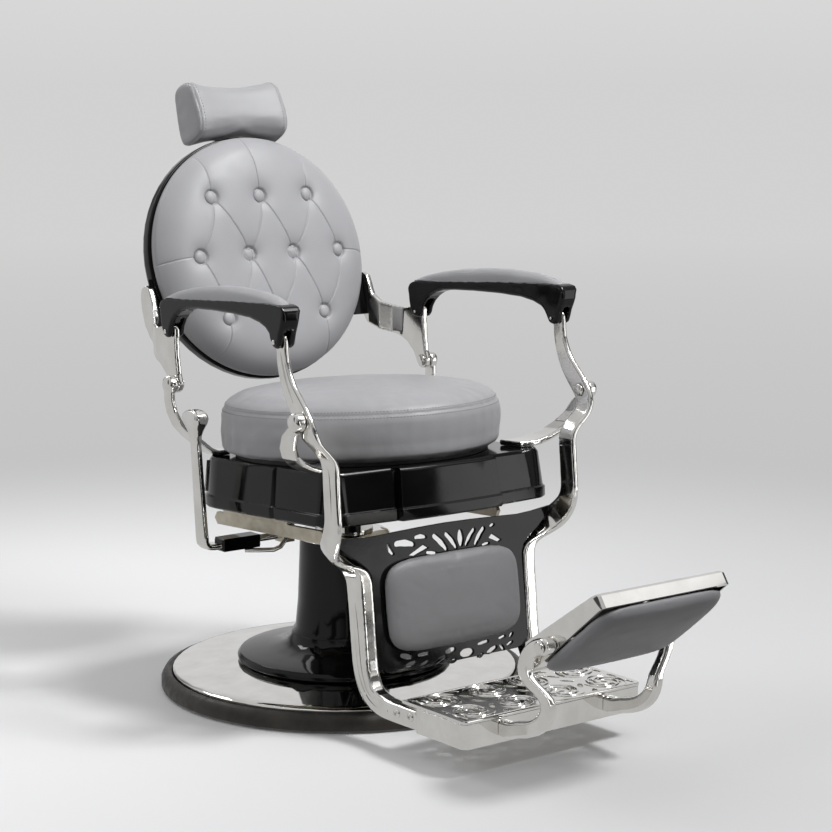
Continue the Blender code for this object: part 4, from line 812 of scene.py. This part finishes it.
PANEL_BANDS = (((-53, -31), (-42, -38), (-74, -48), (-87, -46)),
               ((105, -31), (97, -38), (119, -48), (126, -45)))
PANEL_RING = (26, -237, 32, 15)
PANEL_THICK = 0.006
PANEL_ROUND = 0.0009


def build_leg_panel():
    half = [(x / 1000, t / 1000) for x, t in PANEL_HALF]
    outline = half + [(-x, t) for x, t in reversed(half[1:-1])]
    loops = [(outline, False)]
    for x, t, length, width, turn, bow in PANEL_LEAVES:
        loops.append((leaf(x / 1000, t / 1000, length / 1000, width / 1000, turn, bow / 1000), True))
    for band in PANEL_BANDS:
        loops.append(([(x / 1000, t / 1000) for x, t in band], False))
    x, t, wide, high = (value / 1000 for value in PANEL_RING)
    ring = [(x + wide / 2 * math.cos(a), t + high / 2 * math.sin(a)) for a in np.arange(8) * math.tau / 8]
    loops.append((ring, True))
    obj = flat_plate("leg_panel_openwork", loops, panel, PANEL_THICK, PANEL_ROUND)
    dress(obj, "black_gloss", "legrest", SLOT_OF["leg_panel"], "leg_panel")


# Footplate: a cast floral grille of rosettes and scrolls
GRILLE_COLUMNS = (-0.150, -0.050, 0.050, 0.150)
GRILLE_ROWS = (-0.567, -0.483)
GRILLE_CORNER = 0.010
GRILLE_ROUND = 0.0008
# Holes: petals round each rosette and one at its heart, then leaves between the rosettes and at the ends
PETALS = 7
PETAL_RING = (0.0245, 0.0215)
PETAL_SIZE = (0.019, 0.0085)
PETAL_LEAN = 48
PETAL_BOW = 0.002
HEART_SIZE = (0.011, 0.009)
BETWEEN_X = (-0.100, 0.0, 0.100)
BETWEEN_Y = (-0.598, -0.560, -0.525, -0.490, -0.452)
BETWEEN_SIZE = (0.024, 0.010)
END_X = (-0.188, 0.188)
END_Y = (-0.590, -0.545, -0.505, -0.462)
END_SIZE = (0.022, 0.007)
# Ribs: half width and height
SCROLL_SIZE = 0.041
SCROLL_RIB = (0.0021, 0.0026)
RIM_RIB = (0.0022, 0.0016)
RIM_RIB_OFF = 0.004
RIM_RIB_END = 0.012


def scroll(x, y, turn, hand, size):
    """Spiral from a stem to the heart of a rosette."""
    points = []
    for k in range(34):
        t = k / 33
        a = math.radians(turn) + hand * (0.3 + 4.6 * t)
        r = size * (1.0 - 0.72 * t)
        points.append(Vector((x + r * math.cos(a), y + r * math.sin(a), 0.0)))
    return points


def strip_faces(rows, count):
    """Faces between rows of points, each with the same count."""
    faces = []
    for i in range(rows - 1):
        for k in range(count - 1):
            a = i * count + k
            faces.append([a, a + 1, a + count + 1, a + count])
    return faces


def rib(points, width, height, top):
    """Half-round rib along a level path."""
    verts = []
    profile = [(-1.0, 0.0), (-0.8, 0.6), (-0.3, 0.95), (0.3, 0.95), (0.8, 0.6), (1.0, 0.0)]
    for i, p in enumerate(points):
        way = points[min(i + 1, len(points) - 1)] - points[max(i - 1, 0)]
        side = Vector((-way.y, way.x, 0.0)).normalized()
        taper = min(1.0, 0.35 + 4.0 * min(i, len(points) - 1 - i) / len(points))
        for u, h in profile:
            rise = Vector((0.0, 0.0, h * height * taper))
            verts.append(Vector((p.x, p.y, top)) + side * (u * width * taper) + rise)
    return verts, strip_faces(len(points), len(profile))


def build_grille():
    low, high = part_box("footplate_grille")
    corner = GRILLE_CORNER
    cut = corner * 0.3
    outline = [(low.x, low.y + corner), (low.x + cut, low.y + cut), (low.x + corner, low.y),
               (high.x - corner, low.y), (high.x - cut, low.y + cut), (high.x, low.y + corner),
               (high.x, high.y), (low.x, high.y)]
    loops = [(outline, False)]
    ribs = []
    top = high.z - 0.0004
    for i, x in enumerate(GRILLE_COLUMNS):
        for j, y in enumerate(GRILLE_ROWS):
            hand = 1 if (i + j) % 2 else -1
            for k in range(PETALS):
                a = math.tau * k / PETALS + 0.4 * i
                px, py = x + PETAL_RING[0] * math.cos(a), y + PETAL_RING[1] * math.sin(a)
                turn = 90 - math.degrees(a) + PETAL_LEAN * hand
                loops.append((leaf(px, py, *PETAL_SIZE, turn, PETAL_BOW * hand), True))
            loops.append((leaf(x, y, *HEART_SIZE, 45 * i), True))
            for turn in (0, 120, 240):
                ribs.append(rib(scroll(x, y, turn + 50 * i, hand, SCROLL_SIZE), *SCROLL_RIB, top))
    for x in BETWEEN_X:
        for y in BETWEEN_Y:
            loops.append((leaf(x, y, *BETWEEN_SIZE, 35 if y < -0.525 else -35, 0.001), True))
    for x in END_X:
        for y in END_Y:
            loops.append((leaf(x, y, *END_SIZE, 0), True))
    start, length = low.x + RIM_RIB_END, high.x - low.x - 2 * RIM_RIB_END
    for y in (low.y + RIM_RIB_OFF, high.y - RIM_RIB_OFF):
        line = [Vector((start + length * k / 40, y, 0.0)) for k in range(41)]
        ribs.append(rib(line, *RIM_RIB, top))
    middle = (low.z + high.z) / 2
    plate = flat_plate("footplate_openwork", loops, lambda x, y, z: Vector((x, y, z + middle)),
                       high.z - low.z, GRILLE_ROUND)
    dress(plate, "chrome", "legrest", SLOT_OF["footplate_grille"], "footplate_grille")
    scrolls = join_parts("footplate_scrolls", ribs)
    scrolls.data.shade_smooth()
    dress(scrolls, "chrome", "legrest", SLOT_OF["footplate_grille"])


# Ribs along the outer faces of the front levers: y, z, outer x
LEVER_LINE = ((-0.2585, 0.685, 0.3195), (-0.2612, 0.665, 0.3195), (-0.2680, 0.645, 0.3195),
              (-0.2785, 0.624, 0.3195), (-0.2945, 0.604, 0.3195))
SHIN_LINE = ((-0.3332, 0.490, 0.2750), (-0.3350, 0.460, 0.2750), (-0.3375, 0.425, 0.2750),
             (-0.3395, 0.398, 0.2750))
FOOT_LINE = ((-0.3060, 0.240, 0.200), (-0.3095, 0.210, 0.200), (-0.3165, 0.140, 0.200),
             (-0.3255, 0.108, 0.200), (-0.3420, 0.084, 0.200), (-0.3700, 0.0725, 0.200),
             (-0.400, 0.0695, 0.200))
LEVER_RIB_HALF = 0.0060
LEVER_RIB_HEIGHT = 0.0016


def side_rib(line, sx, half, height):
    """Low rib on a lever's outer face, along a line of y, z and face x."""
    verts = []
    profile = [(-1.0, -0.4), (-0.85, 0.6), (-0.5, 1.0), (0.5, 1.0), (0.85, 0.6), (1.0, -0.4)]
    for i, (y, z, x) in enumerate(line):
        a, b = line[max(i - 1, 0)], line[min(i + 1, len(line) - 1)]
        way = Vector((0.0, b[0] - a[0], b[1] - a[1])).normalized()
        side = Vector((0.0, -way.z, way.y))
        last = 0.3 if i in (0, len(line) - 1) else 1.0
        for u, h in profile:
            verts.append(Vector((sx * (x + h * height * last), y, z)) + side * (u * half * last))
    return verts, strip_faces(len(line), len(profile))


def build_ribs():
    for side, sx in SIDES:
        lines = (LEVER_LINE, SHIN_LINE, FOOT_LINE)
        parts = [side_rib(line, sx, LEVER_RIB_HALF, LEVER_RIB_HEIGHT) for line in lines]
        ribs = join_parts("lever_ribs_" + side, parts)
        finer = ribs.modifiers.new("finer", "SUBSURF")
        finer.levels = 2
        baked(ribs)
        ribs.data.shade_smooth()
        dress(ribs, "chrome", "legrest", "chrome")


# Small fasteners: y and z of each, and the face that it sits on
FOOT_BOLTS = ((-0.4266, 0.0715), (-0.4640, 0.0735))
FOOT_BOLT_X = 0.2000
BACK_SCREW = (0.275, 0.738)
BACK_TAB_X = 0.2440
BACK_TAB_THICK = 0.012


def domed_screw(place, r, h, slot):
    """Round screw head with a socket sunk in it."""
    profile = [(0.0, h * 0.35), (slot, h * 0.35), (slot, h * 0.98), (slot * 1.25, h), (r * 0.62, h * 0.92),
               (r * 0.9, h * 0.6), (r, h * 0.2), (r, 0.0)]
    return lathe(profile, place, 24)


def build_fasteners():
    for side, sx in SIDES:
        heads = []
        for y, z in FOOT_BOLTS:
            def on_foot(u, v, h, y=y, z=z):
                return Vector((sx * (FOOT_BOLT_X + h), y + u, z + v))
            heads.append(domed_screw(on_foot, r=0.0078, h=0.0035, slot=0.0032))
        bolts = join_parts("foot_bolts_" + side, heads)
        dress(smooth(bolts, 40.0), "mirror", "legrest", "chrome")

        def on_tab(u, v, h):
            return Vector((sx * (BACK_TAB_X + BACK_TAB_THICK + h), BACK_SCREW[0] + u, BACK_SCREW[1] + v))
        screw = join_parts("back_arm_screw_" + side, [domed_screw(on_tab, r=0.0062, h=0.0030, slot=0.0026)])
        dress(smooth(screw, 40.0), "mirror", "back", "chrome")


# Camera, floor and light
def build_camera():
    data = bpy.data.cameras.new("camera")
    data.sensor_width = 36.0
    data.lens = CAM_LENS
    cam = link(bpy.data.objects.new("camera", data))
    level = math.cos(CAM_PITCH)
    forward = Vector((math.sin(CAM_HEADING) * level, math.cos(CAM_HEADING) * level, -math.sin(CAM_PITCH)))
    cam.location = CAM_POS
    cam.rotation_euler = forward.to_track_quat("-Z", "Y").to_euler()
    bpy.context.scene.camera = cam


def area_light(name, pos, target, size, power):
    data = bpy.data.lights.new(name, "AREA")
    data.size = size
    data.energy = power
    obj = link(bpy.data.objects.new(name, data))
    obj.location = pos
    obj.rotation_euler = (Vector(target) - Vector(pos)).to_track_quat("-Z", "Y").to_euler()
    obj.visible_camera = False
    return obj


def stepped_ramp(tree, value, stops):
    """Ramp of greys over a value, from stops of (position, shade)."""
    ramp = add_node(tree, "ShaderNodeValToRGB")
    for element in list(ramp.color_ramp.elements)[1:]:
        ramp.color_ramp.elements.remove(element)
    ramp.color_ramp.elements[0].color = (stops[0][1],) * 3 + (1.0,)
    for position, shade in stops:
        ramp.color_ramp.elements.new(position).color = (shade, shade, shade, 1.0)
    tree.links.new(value, ramp.inputs["Fac"])
    return ramp.outputs["Color"]


def build_floor():
    """Floor that fades into the backdrop; mirrors see a glow on it instead."""
    r = FLOOR_REACH
    floor = mesh_piece("floor", [(-r, -r, 0), (r, -r, 0), (r, r, 0), (-r, r, 0)], [(0, 1, 2, 3)])
    mat, tree, shader = new_material("floor", FLOOR_TONE, 0.0, 0.7)
    shader.inputs["Specular IOR Level"].default_value = 0.1
    place = add_node(tree, "ShaderNodeTexCoord")
    split = add_node(tree, "ShaderNodeSeparateXYZ")
    tree.links.new(place.outputs["Object"], split.inputs["Vector"])
    dim = ranged(tree, split.outputs["Y"], *MIRROR_FLOOR_Y, *MIRROR_FLOOR_GLOW)
    turn = add_node(tree, "ShaderNodeTexGradient", gradient_type="RADIAL")
    tree.links.new(place.outputs["Object"], turn.inputs["Vector"])
    bands = stepped_ramp(tree, turn.outputs["Fac"], FLOOR_BANDS)
    front = ranged(tree, split.outputs["Y"], *FLOOR_BAND_START, BAND_GLOW, 0.0)
    total = add_node(tree, "ShaderNodeMath", operation="MULTIPLY_ADD")
    for socket, value in enumerate((bands, front, dim)):
        tree.links.new(value, total.inputs[socket])
    glow = add_node(tree, "ShaderNodeEmission")
    tree.links.new(total.outputs["Value"], glow.inputs["Strength"])
    path = add_node(tree, "ShaderNodeLightPath")
    mix = add_node(tree, "ShaderNodeMixShader")
    tree.links.new(path.outputs["Is Glossy Ray"], mix.inputs["Fac"])
    tree.links.new(glow.outputs["Emission"], mix.inputs[2])
    far = add_node(tree, "ShaderNodeVectorMath", operation="LENGTH")
    tree.links.new(place.outputs["Object"], far.inputs[0])
    fade = ranged(tree, far.outputs["Value"], *FLOOR_FADE, interpolation_type="SMOOTHSTEP")
    wall = ranged(tree, far.outputs["Value"], *WALL_FADE, BACKDROP_NEAR, BACKDROP_LOW)
    backdrop = add_node(tree, "ShaderNodeEmission")
    tree.links.new(wall, backdrop.inputs["Strength"])
    blend = add_node(tree, "ShaderNodeMixShader")
    tree.links.new(fade, blend.inputs["Fac"])
    tree.links.new(shader.outputs["BSDF"], blend.inputs[1])
    tree.links.new(backdrop.outputs["Emission"], blend.inputs[2])
    tree.links.new(blend.outputs["Shader"], mix.inputs[1])
    tree.links.new(mix.outputs["Shader"], tree.nodes["Material Output"].inputs["Surface"])
    floor.data.materials.append(mat)
    floor.visible_diffuse = False


def build_world():
    """Bright studio behind and above, darker in front; the camera sees an even backdrop."""
    world = bpy.data.worlds.new("studio")
    bpy.context.scene.world = world
    world.use_nodes = True
    tree = world.node_tree
    tree.nodes.clear()
    place = add_node(tree, "ShaderNodeTexCoord")
    facing = add_node(tree, "ShaderNodeVectorMath", operation="DOT_PRODUCT")
    facing.inputs[1].default_value = FRONT_WAY
    tree.links.new(place.outputs["Generated"], facing.inputs[0])
    ramp = add_node(tree, "ShaderNodeValToRGB")
    shades = (FRONT_BRIGHT, FRONT_DARK)
    for element, position, colour in zip(ramp.color_ramp.elements, FRONT_RANGE, shades):
        element.position = position
        element.color = colour
    tree.links.new(facing.outputs["Value"], ramp.inputs["Fac"])
    turn = add_node(tree, "ShaderNodeTexGradient", gradient_type="RADIAL")
    tree.links.new(place.outputs["Generated"], turn.inputs["Vector"])
    strips = stepped_ramp(tree, turn.outputs["Fac"], WALL_STRIPS)
    walls = add_node(tree, "ShaderNodeMix", {"Factor": 1.0}, data_type="RGBA", blend_type="MULTIPLY")
    tree.links.new(ramp.outputs["Color"], walls.inputs["A"])
    tree.links.new(strips, walls.inputs["B"])
    split = add_node(tree, "ShaderNodeSeparateXYZ")
    tree.links.new(place.outputs["Generated"], split.inputs["Vector"])
    lower = ranged(tree, split.outputs["Z"], *WALL_BAND_TOP, BAND_GLOW, 0.0)
    path = add_node(tree, "ShaderNodeLightPath")
    mirrored = add_node(tree, "ShaderNodeMath", operation="MULTIPLY")
    tree.links.new(lower, mirrored.inputs[0])
    tree.links.new(path.outputs["Is Glossy Ray"], mirrored.inputs[1])
    bands = add_node(tree, "ShaderNodeVectorMath", operation="MULTIPLY_ADD")
    tree.links.new(stepped_ramp(tree, turn.outputs["Fac"], WALL_BANDS), bands.inputs[0])
    tree.links.new(mirrored.outputs["Value"], bands.inputs[1])
    tree.links.new(walls.outputs["Result"], bands.inputs[2])
    tone = bands.outputs["Vector"]
    for limits, colour in ((SKY_RANGE, SKY), (BOUNCE_RANGE, BOUNCE)):
        steep = ranged(tree, split.outputs["Z"], *limits, interpolation_type="SMOOTHSTEP")
        sky = add_node(tree, "ShaderNodeMix", data_type="RGBA")
        sky.inputs["B"].default_value = colour
        tree.links.new(steep, sky.inputs["Factor"])
        tree.links.new(tone, sky.inputs["A"])
        tone = sky.outputs["Result"]
    lit = add_node(tree, "ShaderNodeBackground")
    tree.links.new(tone, lit.inputs["Color"])
    height = ranged(tree, split.outputs["Z"], *BACKDROP_RISE, BACKDROP_LOW, BACKDROP_HIGH)
    seen = add_node(tree, "ShaderNodeBackground", {"Color": (1.0, 1.0, 1.0, 1.0)})
    tree.links.new(height, seen.inputs["Strength"])
    mix = add_node(tree, "ShaderNodeMixShader")
    tree.links.new(path.outputs["Is Camera Ray"], mix.inputs["Fac"])
    tree.links.new(lit.outputs["Background"], mix.inputs[1])
    tree.links.new(seen.outputs["Background"], mix.inputs[2])
    out = add_node(tree, "ShaderNodeOutputWorld")
    tree.links.new(mix.outputs["Shader"], out.inputs["Surface"])


def build_lights():
    data = bpy.data.lights.new("sun", "SUN")
    data.energy = SUN_ENERGY
    data.angle = SUN_SPREAD
    sun = link(bpy.data.objects.new("sun", data))
    sun.rotation_euler = SUN_WAY.to_track_quat("-Z", "Y").to_euler()
    key = area_light("key", (0.7, -1.2, 2.2), (0.0, 0.2, 0.95), size=0.8, power=4.5)
    key.data.spread = KEY_SPREAD
    area_light("back_left", (-1.2, 2.9, 3.0), (0.0, -0.2, 0.4), size=1.0, power=20)
    area_light("overhead", (0.2, 0.3, 3.8), (0.0, 0.0, 0.5), size=2.6, power=4)
    softbox = area_light("softbox", (1.52, -1.96, 2.00), (0.0, -0.875, 0.33), size=1.0, power=1.9)
    softbox.visible_diffuse = False
    fill = area_light("left_fill", (-2.6, -0.6, 1.5), (0.0, 0.0, 0.7), size=1.6, power=12)
    fill.visible_glossy = False


bpy.context.scene.view_settings.view_transform = "Standard"
build_camera()
finish_nodes()
build_seat_cushion()
build_back_cushion()
build_headrest()
build_pads()
build_leg_panel()
build_grille()
build_ribs()
build_fasteners()
build_floor()
build_world()
build_lights()
